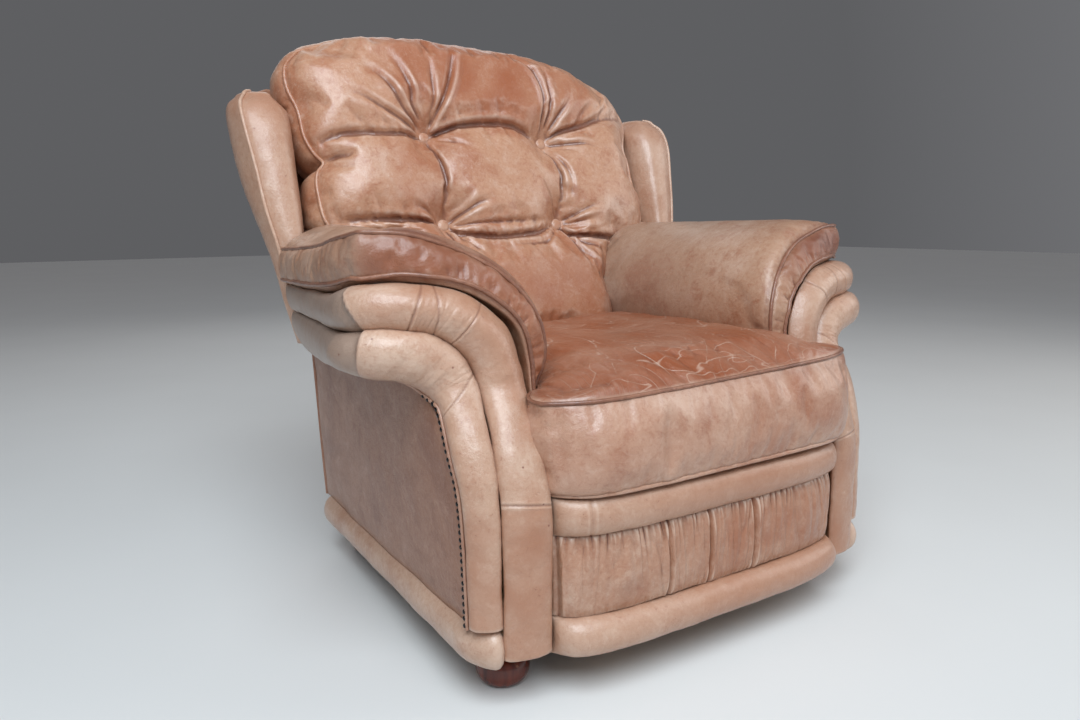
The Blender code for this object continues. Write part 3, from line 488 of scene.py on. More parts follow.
# Welt, groove between the rolls, and nailed edge: up the front from the floor, then back
ARM_SEAMS = [
    ((0.268, -0.401, 0.069), (0.332, -0.389, 0.069), (0.368, -0.367, 0.069)),
    ((0.268, -0.402, 0.200), (0.332, -0.389, 0.200), (0.368, -0.362, 0.200)),
    ((0.267, -0.399, 0.268), (0.330, -0.381, 0.275), (0.370, -0.355, 0.280)),
    ((0.261, -0.368, 0.325), (0.326, -0.354, 0.343), (0.373, -0.336, 0.331)),
    ((0.247, -0.322, 0.385), (0.318, -0.311, 0.387), (0.373, -0.313, 0.377)),
    ((0.247, -0.311, 0.430), (0.320, -0.297, 0.412), (0.377, -0.298, 0.388)),
    ((0.260, -0.308, 0.473), (0.329, -0.289, 0.436), (0.384, -0.287, 0.397)),
    ((0.290, -0.300, 0.502), (0.347, -0.281, 0.456), (0.400, -0.282, 0.410)),
    ((0.335, -0.286, 0.525), (0.372, -0.272, 0.468), (0.423, -0.282, 0.421)),
    ((0.396, -0.266, 0.535), (0.412, -0.260, 0.472), (0.454, -0.268, 0.426)),
    ((0.441, -0.234, 0.532), (0.444, -0.234, 0.471), (0.465, -0.229, 0.424)),
    ((0.451, -0.165, 0.519), (0.448, -0.170, 0.470), (0.450, -0.165, 0.419)),
    ((0.449, -0.085, 0.514), (0.444, -0.085, 0.470), (0.435, -0.085, 0.409)),
    ((0.440, 0.040, 0.510), (0.433, 0.040, 0.467), (0.414, 0.040, 0.401)),
    ((0.427, 0.165, 0.507), (0.418, 0.160, 0.463), (0.392, 0.165, 0.393)),
]
UPPER_PROUD = [0.014, 0.014, 0.016, 0.020, 0.025, 0.028, 0.030, 0.032, 0.034, 0.038, 0.036,
               0.026, 0.017, 0.014, 0.012]
LOWER_PROUD = [0.012, 0.012, 0.014, 0.018, 0.024, 0.029, 0.033, 0.036, 0.037, 0.038, 0.036,
               0.029, 0.024, 0.022, 0.020]
BASE_TOP = 0.107
ROLL_STEPS = 1200
ROLL_AROUND = 44
# Sewn joints across the rolls: how far along from the floor, and how much further on at one edge
# than in the middle. Behind the last joint each roll is thinner, and its leather is duller.
UPPER_JOINTS = [(0.197, 0.0), (0.452, 0.006), (0.495, 0.016), (0.523, 0.0), (0.583, 0.012)]
LOWER_JOINTS = [(0.295, 0.017), (0.432, 0.008)]
JOINT_WIDTH, JOINT_DEPTH = 0.0012, 0.0013
THIN_BEHIND = 0.82


def arm_lines(side):
    """Welt, groove and nailed edge of one arm, and how proud of them its rolls stand."""
    rows = [sum(row, ()) + (a, b) for row, a, b in zip(ARM_SEAMS, UPPER_PROUD, LOWER_PROUD)]
    fine = smooth_through(rows, ROLL_STEPS)
    mirror = np.array([side, 1.0, 1.0])
    lines = [fine[:, k:k + 3] * mirror for k in (0, 3, 6)]
    return *lines, fine[:, 9], fine[:, 10]


def ramp(values, start, end):
    """0 at start, 1 at end, smooth between them."""
    share = np.clip((values - start) / (end - start), 0, 1)
    return share * share * (3 - 2 * share)


def groove_cut(distance, width, depth):
    """A narrow sewn groove with the leather puffed up a little on either side."""
    near = np.exp(-(distance / width) ** 2)
    return -depth * near + depth * 0.45 * np.exp(-((np.abs(distance) - 2.6 * width) / width) ** 2)


def arm_roll(name, inner, outer, proud, deep, joints, side, node, tucked=0.0, bulge=0.0):
    """A stuffed roll between two seams, with sewn joints across it."""
    middle = (inner + outer) / 2
    along = unit(np.gradient(middle, axis=0))
    across = outer - inner
    out = unit(np.cross(across, along))
    travelled = lengthwise(middle)
    turn = full_turn(ROLL_AROUND)
    front = np.clip(np.sin(turn), 0, 1)
    edgeways = side * np.cos(turn)
    close = np.min([np.abs(travelled - at) - abs(skew) for at, skew in joints], axis=0) < 0.005
    chosen = np.flatnonzero(close | (np.arange(len(middle)) % 4 == 0))
    last, last_skew = joints[-1]
    rings = []
    for k in chosen:
        s = travelled[k]
        behind = ramp(s - last - last_skew * edgeways, -0.001, 0.003)
        plumped = 1 + (THIN_BEHIND - 1) * behind + 0.10 * math.exp(-((s - last + 0.03) / 0.03) ** 2)
        power = 0.80 + tucked * np.clip(edgeways, 0, 1) * math.exp(-((s - 0.43) / 0.08) ** 2)
        rise = np.where(np.sin(turn) >= 0, proud[k] * plumped * front ** power,
                        -deep * np.abs(np.sin(turn)) ** 1.8)
        sewn = sum(groove_cut(s - at - skew * edgeways, JOINT_WIDTH, JOINT_DEPTH)
                   for at, skew in joints)
        rise = rise + front ** 0.4 * sewn
        width = 1 + bulge * np.clip(-edgeways, 0, 1) * math.exp(-((s - last + 0.035) / 0.035) ** 2)
        rings.append(middle[k] - (np.cos(turn) * width)[:, None] * across[k] / 2
                     + rise[:, None] * out[k])
    rings = np.array(rings)
    caps = []
    for end, way in ((0, -1.0), (-1, 1.0)):
        centre = rings[end][:-1].mean(axis=0)
        for share in (0.35, 0.7, 0.93):
            size = math.sqrt(1 - share ** 2)
            caps.append(centre + (rings[end] - centre) * size + along[end] * way * 0.003 * share)
    rings = np.concatenate([caps[2::-1], rings, caps[3:]])
    piece, (rings_at,) = sew(name, [capped(rings)])
    travel, across_at, edge = (np.zeros(len(piece.data.vertices)) for _ in range(3))
    travel[rings_at[4:-4]] = travelled[chosen][:, None]
    across_at[rings_at[4:-4]] = edgeways
    edge[rings_at[4:-4]] = (1 - front) ** 2.5

    # Small puckers run off the joints of the bend, and the whole roll is a little uneven
    points = read(piece)
    bend = np.exp(-((travel - last + 0.07) / 0.06) ** 2) * (1 - edge)
    drawn = np.column_stack([travel / 0.010, across_at * 0.8, points[:, 2] * 6])
    swell(piece, bend * (np.abs(wander(drawn, 1.0, 3.0)) ** 0.7 - 0.35) * 0.0015)
    slacken(piece, (0.070, 0.0018, 11.0), (0.024, 0.0009, 5.0), (0.009, 0.00022, 2.0))
    mark_folds(piece, reach=0.007)
    points = read(piece)
    seam = np.max([np.exp(-((travel - at - skew * across_at) / 0.0011) ** 2)
                   for at, skew in joints], axis=0)
    behind = ramp(travel - last - last_skew * across_at, -0.001, 0.002)
    bruise = np.clip(wander(points, 0.050, 14.0) * 0.6 + 0.10, 0, 1)
    low = (1 - ramp(points[:, 2], 0.263, 0.266)) * 0.45 if tucked else (
        (1 - ramp(points[:, 2], 0.10, 0.24)) * 0.55)
    store(piece, "wear_and_shade",
          np.clip(low + bruise + edge * 0.5 + tucked * (0.10 + 0.22 * bend), 0, 1))
    store(piece, "burnish", seam * 0.45)
    store(piece, "dull", behind * 0.85)
    fit(piece, roll_leather, "roll_leather", node)


for word, side in SIDES:
    welt, groove, nailed, upper, lower = arm_lines(side)
    opening = 0.15 * np.exp(-((lengthwise(welt) - 0.40) / 0.10) ** 2)
    rim = welt + (groove - welt) * opening[:, None]
    ends = (rim, groove) if side > 0 else (groove, rim)
    arm_roll(f"upper_arm_roll_{word}", *ends, upper, 0.016, UPPER_JOINTS, side,
             f"upper_roll_{word}", tucked=1.0)
    foot = next(i for i, point in enumerate(groove) if point[2] > BASE_TOP + 0.004)
    ends = (groove, nailed) if side > 0 else (nailed, groove)
    arm_roll(f"lower_arm_roll_{word}", *(line[foot:] for line in ends), lower[foot:], 0.014,
             LOWER_JOINTS, side, f"lower_roll_{word}", bulge=0.22)


# ---------------------------------------------------------------- Outside panels of arms and back
# Browner leather stretched over board and a thin wadding. The arm panels are tucked up under the
# lower rolls, the back one is bowed and comes forward over the top rail; both are blind-tacked.

PANEL = [(0.1050, 0.3600, -0.353, 0.236), (0.200, 0.3655, -0.348, 0.233),
         (0.290, 0.3700, -0.338, 0.229), (0.345, 0.3730, -0.318, 0.226),
         (0.400, 0.3760, -0.268, 0.223), (0.440, 0.3775, -0.245, 0.221)]
PANEL_THICK, PANEL_BOW, PANEL_PUFF = 0.006, 0.004, 0.0045
BACK_PANEL = [(0.1050, 0.352, 0.228), (0.300, 0.362, 0.230), (0.420, 0.380, 0.236),
              (0.520, 0.415, 0.262), (0.620, 0.443, 0.306), (0.720, 0.460, 0.352),
              (0.800, 0.462, 0.374), (0.835, 0.436, 0.400), (0.858, 0.385, 0.425)]
REAR_Y = 0.236
RECLINE = 0.41
OUTSIDE_TOP = (0.416, 0.770)
TOP_RAIL = 0.733
RAIL_FACE = 0.379

panel_leather = leather("outside_panel_leather", (0.300, 0.132, 0.073), (0.215, 0.083, 0.045),
                        (0.400, 0.210, 0.136), mottle=0.8, gloss=0.46, spots=0.3, ridge_rub_and_highlight=0.25)
dark_piping = leather("dark_piping_leather", (0.235, 0.092, 0.050), (0.130, 0.045, 0.026),
                      (0.360, 0.170, 0.105), mottle=0.7, gloss=0.34, ridge_rub_and_highlight=0.1, spots=0.2)


def shell_between(name, outside, inside):
    """A closed panel from the grids of its two faces."""
    edges = [np.array([outside[:, k], inside[:, k]]) for k in (0, -1)]
    edges += [np.array([outside[k], inside[k]]) for k in (0, -1)]
    return sew(name, [outside, inside, *edges])[0]


for word, side in SIDES:
    rows = smooth_through(PANEL, 64)
    share = np.linspace(0, 1, 80)
    y = rows[:, 2:3] + (rows[:, 3:4] - rows[:, 2:3]) * share
    z = np.repeat(rows[:, 0:1], len(share), axis=1)
    edge = np.minimum(np.minimum(share, 1 - share) * 0.55, (z - z.min()) * 0.9)
    puff = PANEL_PUFF * (1 - np.exp(-edge / 0.020))
    x = (rows[:, 1:2] + PANEL_BOW * np.sin(math.pi * share) + puff) * side
    outside = np.stack([x, y, z], axis=2)
    x = np.repeat(rows[:, 1:2] - PANEL_THICK, len(share), axis=1) * side
    inside = np.stack([x, y, z], axis=2)
    panel = shell_between(f"outside_arm_{word}", outside, inside)
    slacken(panel, (0.120, 0.0022, 21.0), (0.034, 0.0005, 4.0))
    mark_folds(panel, reach=0.020)
    fit(panel, panel_leather, "panel_leather", f"side_panel_{word}")

across = np.linspace(-1, 1, 110)
level = np.ones_like(across)
outside, inside = [], []
for z, half, edge in smooth_through(BACK_PANEL, 90):
    middle = max(REAR_Y, OUTSIDE_TOP[0] + RECLINE * (z - OUTSIDE_TOP[1]))
    y = middle - (middle - edge) * np.abs(across) ** 4 + PANEL_BOW * (1 - np.abs(across) ** 6)
    outside.append(np.column_stack([half * across, y, level * z]))
    over_rail = np.clip((z - TOP_RAIL - 0.02) / 0.03, 0, 1)
    over_rail = over_rail * np.clip((0.84 - np.abs(across)) / 0.08, 0, 1)
    rail = RAIL_FACE + RECLINE * (z - OUTSIDE_TOP[1])
    y = y - PANEL_THICK - PANEL_BOW
    inside.append(np.column_stack([(half - 0.003) * across, y + over_rail * (rail - y), level * z]))
back_panel = shell_between("outside_back_panel", np.array(outside), np.array(inside))
slacken(back_panel, (0.150, 0.0030, 31.0), (0.040, 0.0006, 4.0))
mark_folds(back_panel, reach=0.020)
fit(back_panel, panel_leather, "panel_leather", "outside_back")


# ---------------------------------------------------------------- Piping and nails
# Thin leather cord, covered in the same hide, is sewn into the seam where each panel meets its
# neighbour. Black japanned dome nails hold the arm panel's front edge just behind it.

PIPING = 0.0032
NAIL_PITCH, NAIL_AROUND = 0.0092, 12
NAIL_RADIUS, NAIL_DEEP = 0.0032, 0.004
NAILS_FROM, NAILS_TO = 0.112, 0.398
NAIL_OFFSET = np.array([0.0030, 0.0056, 0.0])


def piping(name, points, material, slot, radius=PIPING, closed=False):
    """A covered cord along a seam."""
    curve = bpy.data.curves.new(name, "CURVE")
    curve.dimensions = "3D"
    curve.bevel_depth = radius
    curve.bevel_resolution = 2
    curve.use_fill_caps = not closed
    spline = curve.splines.new("POLY")
    spline.points.add(len(points) - 1)
    spline.points.foreach_set("co", np.column_stack([points, np.ones(len(points))]).ravel())
    spline.use_cyclic_u = closed
    spline.use_smooth = True
    curve.resolution_u = 1
    cord = bpy.data.objects.new(name, curve)
    bpy.context.scene.collection.objects.link(cord)
    fit(cord, material, slot)


def japanned_black():
    black = Finish("japanned_black")
    worn = black.step(black.cloud(black.place(), 320.0, detail=3.0), 0.60, 0.70)
    return black.shade({"Base Color": black.blend((0.012, 0.010, 0.010), (0.11, 0.07, 0.05), worn),
                        "Metallic": 0.55, "Roughness": 0.26 + worn * 0.3})


nail_black = japanned_black()
arm_cord = leather("arm_cord_leather", (0.380, 0.200, 0.130), (0.260, 0.105, 0.062),
                   (0.520, 0.330, 0.240), mottle=0.6, ridge_rub_and_highlight=0.2, spots=0.2)
for word, side in SIDES:
    nailed = arm_lines(1.0)[2]
    seam = nailed[(nailed[:, 2] > BASE_TOP) & (nailed[:, 0] < 0.425) & (nailed[:, 1] < -0.25)][::3]
    mirror = np.array([side, 1.0, 1.0])
    piping(f"arm_front_piping_{word}", (seam + [0.0010, 0.0030, -0.0005]) * mirror, arm_cord,
           "roll_leather", radius=0.0026)
    line = nailed[(nailed[:, 2] > NAILS_FROM) & (nailed[:, 2] < NAILS_TO) & (nailed[:, 1] < -0.27)]
    line = smooth_through(line[::16], int(lengthwise(line)[-1] / NAIL_PITCH) + 1) + NAIL_OFFSET
    uneven = wander(line, 0.004, 9.0)[:, None] * np.array([0.0, 0.0011, 0.0016])
    turn = full_turn(NAIL_AROUND)
    domes = []
    for centre in line + uneven:
        rings = []
        for tip in np.linspace(0, math.pi / 2, 6):
            rise, wide = NAIL_RADIUS * 0.62 * math.cos(tip), NAIL_RADIUS * math.sin(tip)
            rings.append(np.column_stack([np.full_like(turn, centre[0] + rise),
                                          centre[1] + wide * np.cos(turn),
                                          centre[2] + wide * np.sin(turn)]))
        rings.append(rings[-1] - [NAIL_DEEP, 0.0, 0.0])
        rings.append(np.repeat((centre - [NAIL_DEEP, 0.0, 0.0])[None], len(turn), axis=0))
        domes.append(np.array(rings) * mirror)
    nails, _ = sew(f"dome_nails_{word}", domes)
    fit(nails, nail_black, "black_nails", f"nail_strip_{word}")
    rear_edge = smooth_through([(row[1] * side, row[3] + 0.001, row[0]) for row in PANEL], 60)
    piping(f"rear_corner_piping_{word}", rear_edge, panel_leather, "panel_leather", radius=0.0030)


# ---------------------------------------------------------------- Wings
# A flat padded wing stands at either side of the back cushion, covered in the pale leather. Piping
# runs down its outer front edge and parts the plump front from the outside.

# Height of each section of a wing, and the corners of its outer face there, front and rear
WING = [(0.400, (0.398, 0.190), (0.388, 0.222)), (0.480, (0.420, 0.184), (0.414, 0.228)),
        (0.560, (0.432, 0.186), (0.434, 0.262)), (0.631, (0.446, 0.202), (0.449, 0.298)),
        (0.700, (0.454, 0.219), (0.461, 0.332)), (0.769, (0.463, 0.240), (0.468, 0.350)),
        (0.808, (0.463, 0.263), (0.467, 0.356)), (0.826, (0.452, 0.284), (0.452, 0.352))]
WING_INNER = 0.379
WING_STEPS = 96

for word, side in SIDES:
    rings, edge = [], []
    rows = smooth_through([(z, *front, *rear) for z, front, rear in WING], WING_STEPS)
    for z, front_x, front_y, rear_x, rear_y in rows:
        inner = WING_INNER + max(0.0, z - 0.80) * 0.6
        wide = front_x - inner
        plump_front = smooth_through([(inner, front_y + 0.030), (inner + 0.008, front_y + 0.008),
                                      (inner + wide * 0.30, front_y - 0.010),
                                      (inner + wide * 0.65, front_y - 0.012),
                                      (front_x - 0.008, front_y - 0.006), (front_x, front_y)], 20)
        outer = smooth_through([(front_x, front_y), (front_x + 0.0045, front_y + 0.010),
                                (max(front_x, rear_x) + 0.008, (front_y + rear_y) / 2),
                                (rear_x + 0.003, rear_y - 0.014), (rear_x - 0.008, rear_y)], 16)
        rear = smooth_through([(rear_x - 0.008, rear_y), ((inner + rear_x) / 2, rear_y + 0.001),
                               (inner + 0.006, rear_y - 0.004), (inner, rear_y - 0.014),
                               (inner, front_y + 0.030)], 16)
        ring = np.vstack([plump_front, outer[1:], rear[1:]])
        rings.append(np.column_stack([ring, np.full(len(ring), z)]))
        edge.append((front_x + 0.0010, front_y - 0.0010, z))
    top = rings[-1]
    centre = top[:-1].mean(axis=0)
    for size, lift in ((0.93, 0.0035), (0.76, 0.0065), (0.45, 0.0085)):
        rings.append(centre + (top - centre) * size + [0, 0, lift])
        edge.append(tuple(centre + (np.array(edge[len(rows) - 1]) - centre) * size + [0, 0, lift]))
    mirror = np.array([side, 1.0, 1.0])
    wing, _ = sew(f"padded_wing_{word}", [capped(np.array(rings) * mirror)])
    slacken(wing, (0.080, 0.0018, 41.0), (0.026, 0.0007, 3.0))
    mark_folds(wing, reach=0.010)
    store(wing, "wear_and_shade", 0.25 + 0.45 * ramp(read(wing)[:, 2], 0.74, 0.82))
    fit(wing, roll_leather, "roll_leather", f"wing_{word}")
    piping(f"wing_piping_{word}", np.array(edge[12:]) * mirror, roll_leather, "roll_leather")


# ---------------------------------------------------------------- Arm pads
# A thick soft pad lies over the inside and the top of each arm. Its cover has a top panel and a
# puffed boxing strip, sewn together with piping, and is most worn where hands rest on its front.

PAD_FRONT = [(0.236, -0.303, 0.385), (0.218, -0.306, 0.430), (0.224, -0.301, 0.482),
             (0.258, -0.285, 0.531), (0.310, -0.268, 0.566), (0.380, -0.258, 0.591),
             (0.441, -0.244, 0.598)]
PAD_SIDE = [(0.441, -0.244, 0.598), (0.449, -0.170, 0.588), (0.443, -0.080, 0.577),
            (0.436, 0.040, 0.570), (0.430, 0.170, 0.565)]
PAD_REAR = [(0.228, 0.180, 0.380), (0.212, 0.188, 0.430), (0.216, 0.195, 0.490),
            (0.252, 0.202, 0.552), (0.310, 0.202, 0.586), (0.362, 0.186, 0.588),
            (0.430, 0.170, 0.565)]
PAD_REAR_INNER = [(0.262, 0.180, 0.380), (0.262, 0.188, 0.430), (0.270, 0.195, 0.472),
                  (0.300, 0.202, 0.505), (0.335, 0.202, 0.522), (0.366, 0.186, 0.522),
                  (0.427, 0.165, 0.507)]
PAD_PROUD = 0.015
PAD_RISE = {-1.0: 0.001, 1.0: 0.014}
BOXING_PROUD = 0.013
PAD_ACROSS, PAD_BACK = 70, 68
# How far down the boxing strip each row of it lies, and how proud it stands there: it is fullest in
# the middle, carries the lower piping on its edge, and turns under to the arm below that
BOXING = [(0.0, 0.0), (0.07, 0.38), (0.15, 0.62), (0.24, 0.80), (0.34, 0.93), (0.45, 1.0),
          (0.56, 1.0), (0.67, 0.95), (0.77, 0.86), (0.86, 0.70), (0.93, 0.30), (1.0, 0.0)]
LOWER_PIPING_ROW = 9
STITCH_IN = 0.0085
PLUMP_FRAMES = 20

arm_leather = leather("arm_pad_leather", (0.430, 0.240, 0.150), (0.280, 0.078, 0.028),
                      (0.560, 0.385, 0.290), mottle=0.6, gloss=0.36, ridge_rub_and_highlight=0.3, spots=0.3,
                      wax=0.18)


def subdivide(piece):
    """Split every face of a closed cover in four and round it over; stored values go along."""
    mesh = piece.data
    count = len(mesh.vertices)
    corner, side = (np.empty(len(mesh.loops), np.int32) for _ in range(2))
    mesh.loops.foreach_get("vertex_index", corner)
    mesh.loops.foreach_get("edge_index", side)
    start, total = (np.empty(len(mesh.polygons), np.int32) for _ in range(2))
    mesh.polygons.foreach_get("loop_start", start)
    mesh.polygons.foreach_get("loop_total", total)
    edges = np.empty(len(mesh.edges) * 2, np.int32)
    mesh.edges.foreach_get("vertices", edges)
    edges = edges.reshape(-1, 2)
    face = np.repeat(np.arange(len(start)), total)
    before = np.arange(len(corner)) - 1
    before[start] = start + total - 1
    quads = np.stack([corner, count + side, count + len(edges) + face, count + side[before]],
                     axis=1)

    def split(values):
        inside = [np.bincount(face, column[corner]) / total for column in values.T]
        return np.vstack([values, values[edges].mean(axis=1), np.stack(inside, axis=1)])

    points = split(read(piece))
    valence = np.bincount(quads.ravel())[:, None]
    middle = points[quads].mean(axis=1)
    around = np.stack([np.bincount(quads.ravel(), np.repeat(column, 4)) for column in middle.T],
                      axis=1)
    points = points + (around / valence - points) * 4 / valence
    finer = bpy.data.meshes.new(mesh.name)
    finer.from_pydata(points.tolist(), [], quads.tolist())
    finer.shade_smooth()
    stored = {layer.name: split(attribute(piece, layer.name)[:, None])[:, 0]
              for layer in mesh.attributes if layer.data_type == "FLOAT"}
    piece.data = finer
    for name, values in stored.items():
        store(piece, name, values)


def attribute(piece, name):
    values = np.empty(len(piece.data.vertices), np.float32)
    piece.data.attributes[name].data.foreach_get("value", values)
    return values.astype(float)


def refine(piece, **stored):
    """Subdivide a cover, and give back the values stored on it as they are at its new points."""
    for name, values in stored.items():
        store(piece, name, values)
    subdivide(piece)
    return [attribute(piece, name) for name in stored]


def plump(piece, held, pressure, slack, reach, bend):
    """Blow a sewn cover up over its filling, as cloth that is held along its seams."""
    start = read(piece)
    group = piece.vertex_groups.new(name="held")
    for share in np.unique(np.round(held, 1)):
        if share > 0:
            group.add(np.flatnonzero(np.round(held, 1) == share).tolist(), float(share), "REPLACE")
    cover = piece.modifiers.new("cover", "CLOTH")
    cloth = cover.settings
    cloth.quality = 6
    cloth.mass = 0.5
    cloth.tension_stiffness = cloth.compression_stiffness = 30.0
    cloth.shear_stiffness = 12.0
    cloth.bending_stiffness = bend
    cloth.tension_damping = cloth.compression_damping = cloth.shear_damping = 12.0
    cloth.use_pressure = True
    cloth.uniform_pressure_force = pressure
    cloth.shrink_min = -slack
    cloth.vertex_group_mass = "held"
    cloth.effector_weights.gravity = 0.0
    cover.collision_settings.use_collision = False
    cover.point_cache.frame_start = 1
    cover.point_cache.frame_end = PLUMP_FRAMES
    for number in range(1, PLUMP_FRAMES + 1):
        bpy.context.scene.frame_set(number)
    blown = piece.evaluated_get(bpy.context.evaluated_depsgraph_get()).data
    end = np.empty(len(start) * 3, np.float32)
    blown.vertices.foreach_get("co", end)
    piece.modifiers.remove(cover)
    moved = end.reshape(-1, 3) - start
    share = np.minimum(1, reach / np.linalg.norm(moved, axis=1).clip(1e-9))
    write(piece, start + moved * share[:, None])
    bpy.context.scene.frame_set(1)


for word, side in SIDES:
    mirror = np.array([side, 1.0, 1.0])
    rows = [row[0] for row in ARM_SEAMS]
    low_front, up_front, low_rear, up_rear = (
        smooth_through(line, PAD_ACROSS)
        for line in (rows[4:11], PAD_FRONT, PAD_REAR_INNER, PAD_REAR))
    low_side, up_side = (smooth_through(line, PAD_BACK) for line in (rows[10:], PAD_SIDE))
    u = np.linspace(0, 1, PAD_ACROSS)
    v = np.linspace(0, 1, PAD_BACK)[:, None, None]

    def between(front, rear, edge):
        grid = front * (1 - v) + rear * v
        return grid + (u[None, :, None] ** 3) * (edge[:, None] - grid[:, -1:])

    over, under = between(up_front, up_rear, up_side), between(low_front, low_rear, low_side)
    normal = unit(np.cross(np.gradient(over, axis=1), np.gradient(over, axis=0)))
    crown = np.sin(math.pi * (0.06 + 0.94 * u)) ** 0.42 * (1 - np.exp(-v[:, :, 0] * 24))
    proud = PAD_PROUD + PAD_RISE[side] * (1 - v[:, :, 0]) * np.clip((u - 0.3) / 0.3, 0, 1)
    over = over + normal * (proud * np.clip(crown, 0, 1))[..., None]

    seam_up, seam_low = np.vstack([over[0], over[1:, -1]]), np.vstack([under[0], under[1:, -1]])
    run = unit(np.gradient(seam_up + seam_low, axis=0))
    out = unit(np.cross(run, seam_low - seam_up))
    width = np.linalg.norm(seam_low - seam_up, axis=1)
    share, stands = (np.array(column)[:, None, None] for column in zip(*BOXING))
    puff = (BOXING_PROUD * np.clip(width / 0.05, 0, 1) ** 2)[None, :, None]
    boxing = seam_up * (1 - share) + seam_low * share - out * puff * stands
    rear = over[-1] * (1 - share) + under[-1] * share
    rear = rear + (u[None, :, None] ** 6) * (boxing[:, -1:] - rear[:, -1:])
    foot = over[:, 0] * (1 - share) + under[:, 0] * share
    foot[:, 0] = boxing[:, 0]
    pad, (over_at, under_at, boxing_at, rear_at, foot_at) = sew(
        f"arm_pad_cover_{word}", [grid * mirror for grid in (over, under, boxing, rear, foot)])

    held = np.zeros(len(pad.data.vertices))
    for rows_at in (under_at, rear_at, foot_at, boxing_at[0], boxing_at[LOWER_PIPING_ROW:]):
        held[rows_at] = 1.0
    near_front = 1 - ramp(read(pad)[:, 1], -0.29, -0.24)
    plump(pad, held, pressure=3.0, slack=0.024, reach=0.003 + 0.005 * near_front, bend=1.5)

    # Wrinkles where the boxing strip is eased round the curve of the front, and soft rumples on top
    along, down, depth, tops = (np.zeros(len(held)) for _ in range(4))
    along[boxing_at] = lengthwise(seam_up)[None, :]
    down[boxing_at] = share[:, :, 0] * width[None, :]
    depth[boxing_at] = stands[:, :, 0] ** 0.5 * np.clip(width / 0.05, 0, 1) * (share[:, :, 0] < 0.9)
    tops[over_at] = 1.0
    tops[boxing_at[0]] = 0.0
    along, down, depth, tops = refine(pad, along=along, down=down, depth=depth, tops=tops)
    points, normals = read(pad), read(pad, "normal")
    bend = np.exp(-((along - 0.16) / 0.13) ** 2)
    slanted = np.column_stack([(along + down * 0.6) / 0.0075, down / 0.060, points[:, 1] * 2])
    fine = (np.abs(wander(slanted, 1.0, 6.0)) ** 0.6 - 0.45) * bend * ramp(down, 0.008, 0.030)
    slanted = np.column_stack([(along + down * 0.9) / 0.026, down / 0.045, points[:, 1] * 4])
    large = wander(slanted, 1.0, 3.0) * (0.4 + bend)
    rumple = wander(points, 0.030, 8.0) * 0.0013 + wander(points, 0.010, 1.0) * 0.0005
    broad = wander(points * [1.0, 0.35, 1.0], 0.060, 4.0) * 0.0018
    apart = points[:, None] - (seam_up * mirror)[None, ::3]
    to_seam = np.linalg.norm(apart, axis=2).min(axis=1)
    stitched = np.exp(-((to_seam - STITCH_IN) / 0.0022) ** 2) * tops
    write(pad, points + normals * (depth * (fine * 0.0034 + large * 0.0014 + rumple)
                                   + tops * (broad + rumple * 0.3) - stitched * 0.0011)[:, None])
    mark_folds(pad, reach=0.009)

    # Dark burnish over the front crest and along the piping, fading towards the back
    points = read(pad)
    front = 1 - ramp(points[:, 1], -0.27, -0.05)
    grime = np.clip(wander(points, 0.040, 12.0) * 0.45 + 0.65, 0, 1)
    if side < 0:
        crest = ramp(points[:, 2], 0.47, 0.56) * front * np.maximum(tops, 0.40)
        dark = crest * 0.70 + front * (np.exp(-to_seam / 0.012) * 0.40 + depth * 0.08)
        worn = depth * 0.50 + front * 0.35
    else:
        upper_part = ramp(points[:, 2], 0.47, 0.57)
        dark = front * (depth * upper_part * 0.85 + np.exp(-to_seam / 0.006) * 0.50
                        + tops * ramp(points[:, 2], 0.56, 0.60) * 0.30)
        worn = depth * upper_part
    on_side = ramp(points[:, 1], -0.262, -0.235) * depth
    store(pad, "burnish", np.clip(grime * dark + stitched * 0.25, 0, 0.8))
    low = (1 - ramp(points[:, 2], 0.42, 0.50)) * tops
    store(pad, "wear_and_shade", np.clip(low * 0.25 + worn, 0, 1) * (1 - 0.9 * on_side))
    dull = on_side * 0.12 + tops * ramp(points[:, 1], -0.22, -0.02) * 0.35
    store(pad, "dull", np.clip(dull, 0, 1))
    fit(pad, arm_leather, "arm_leather", f"arm_pad_{word}")

    outward = (out * mirror)[1:] * -0.0012
    for level, row in (("upper", 0), ("lower", LOWER_PIPING_ROW)):
        piping(f"pad_{level}_piping_{word}", points[boxing_at[row]][1:] + outward, dark_piping,
               "arm_leather")


# ---------------------------------------------------------------- Front bands
# Below the seat the bowed front has three bands: a padded border, a facing gathered in fine pleats
# between two seams and cut by four stitched joints, and the roll along the base.

FRONT_BOW = [(0.000, -0.426), (0.100, -0.426), (0.175, -0.423), (0.232, -0.411), (0.262, -0.390)]
BORDER_BAND = (0.217, 0.2670)
APRON_BAND = (0.1075, 0.2175)
BASE_BAND = (0.0560, 0.1072)
BORDER_JOINTS = (-0.219,)
APRON_JOINTS = (-0.2555, -0.101, -0.028, 0.058)
APRON_STAIN = (-0.165, 0.140)

apron_leather = leather("gathered_facing_leather", (0.460, 0.255, 0.165), (0.320, 0.115, 0.055),
                        (0.640, 0.460, 0.350), mottle=0.7, gloss=0.32, ridge_rub_and_highlight=0.85, spots=0.4)


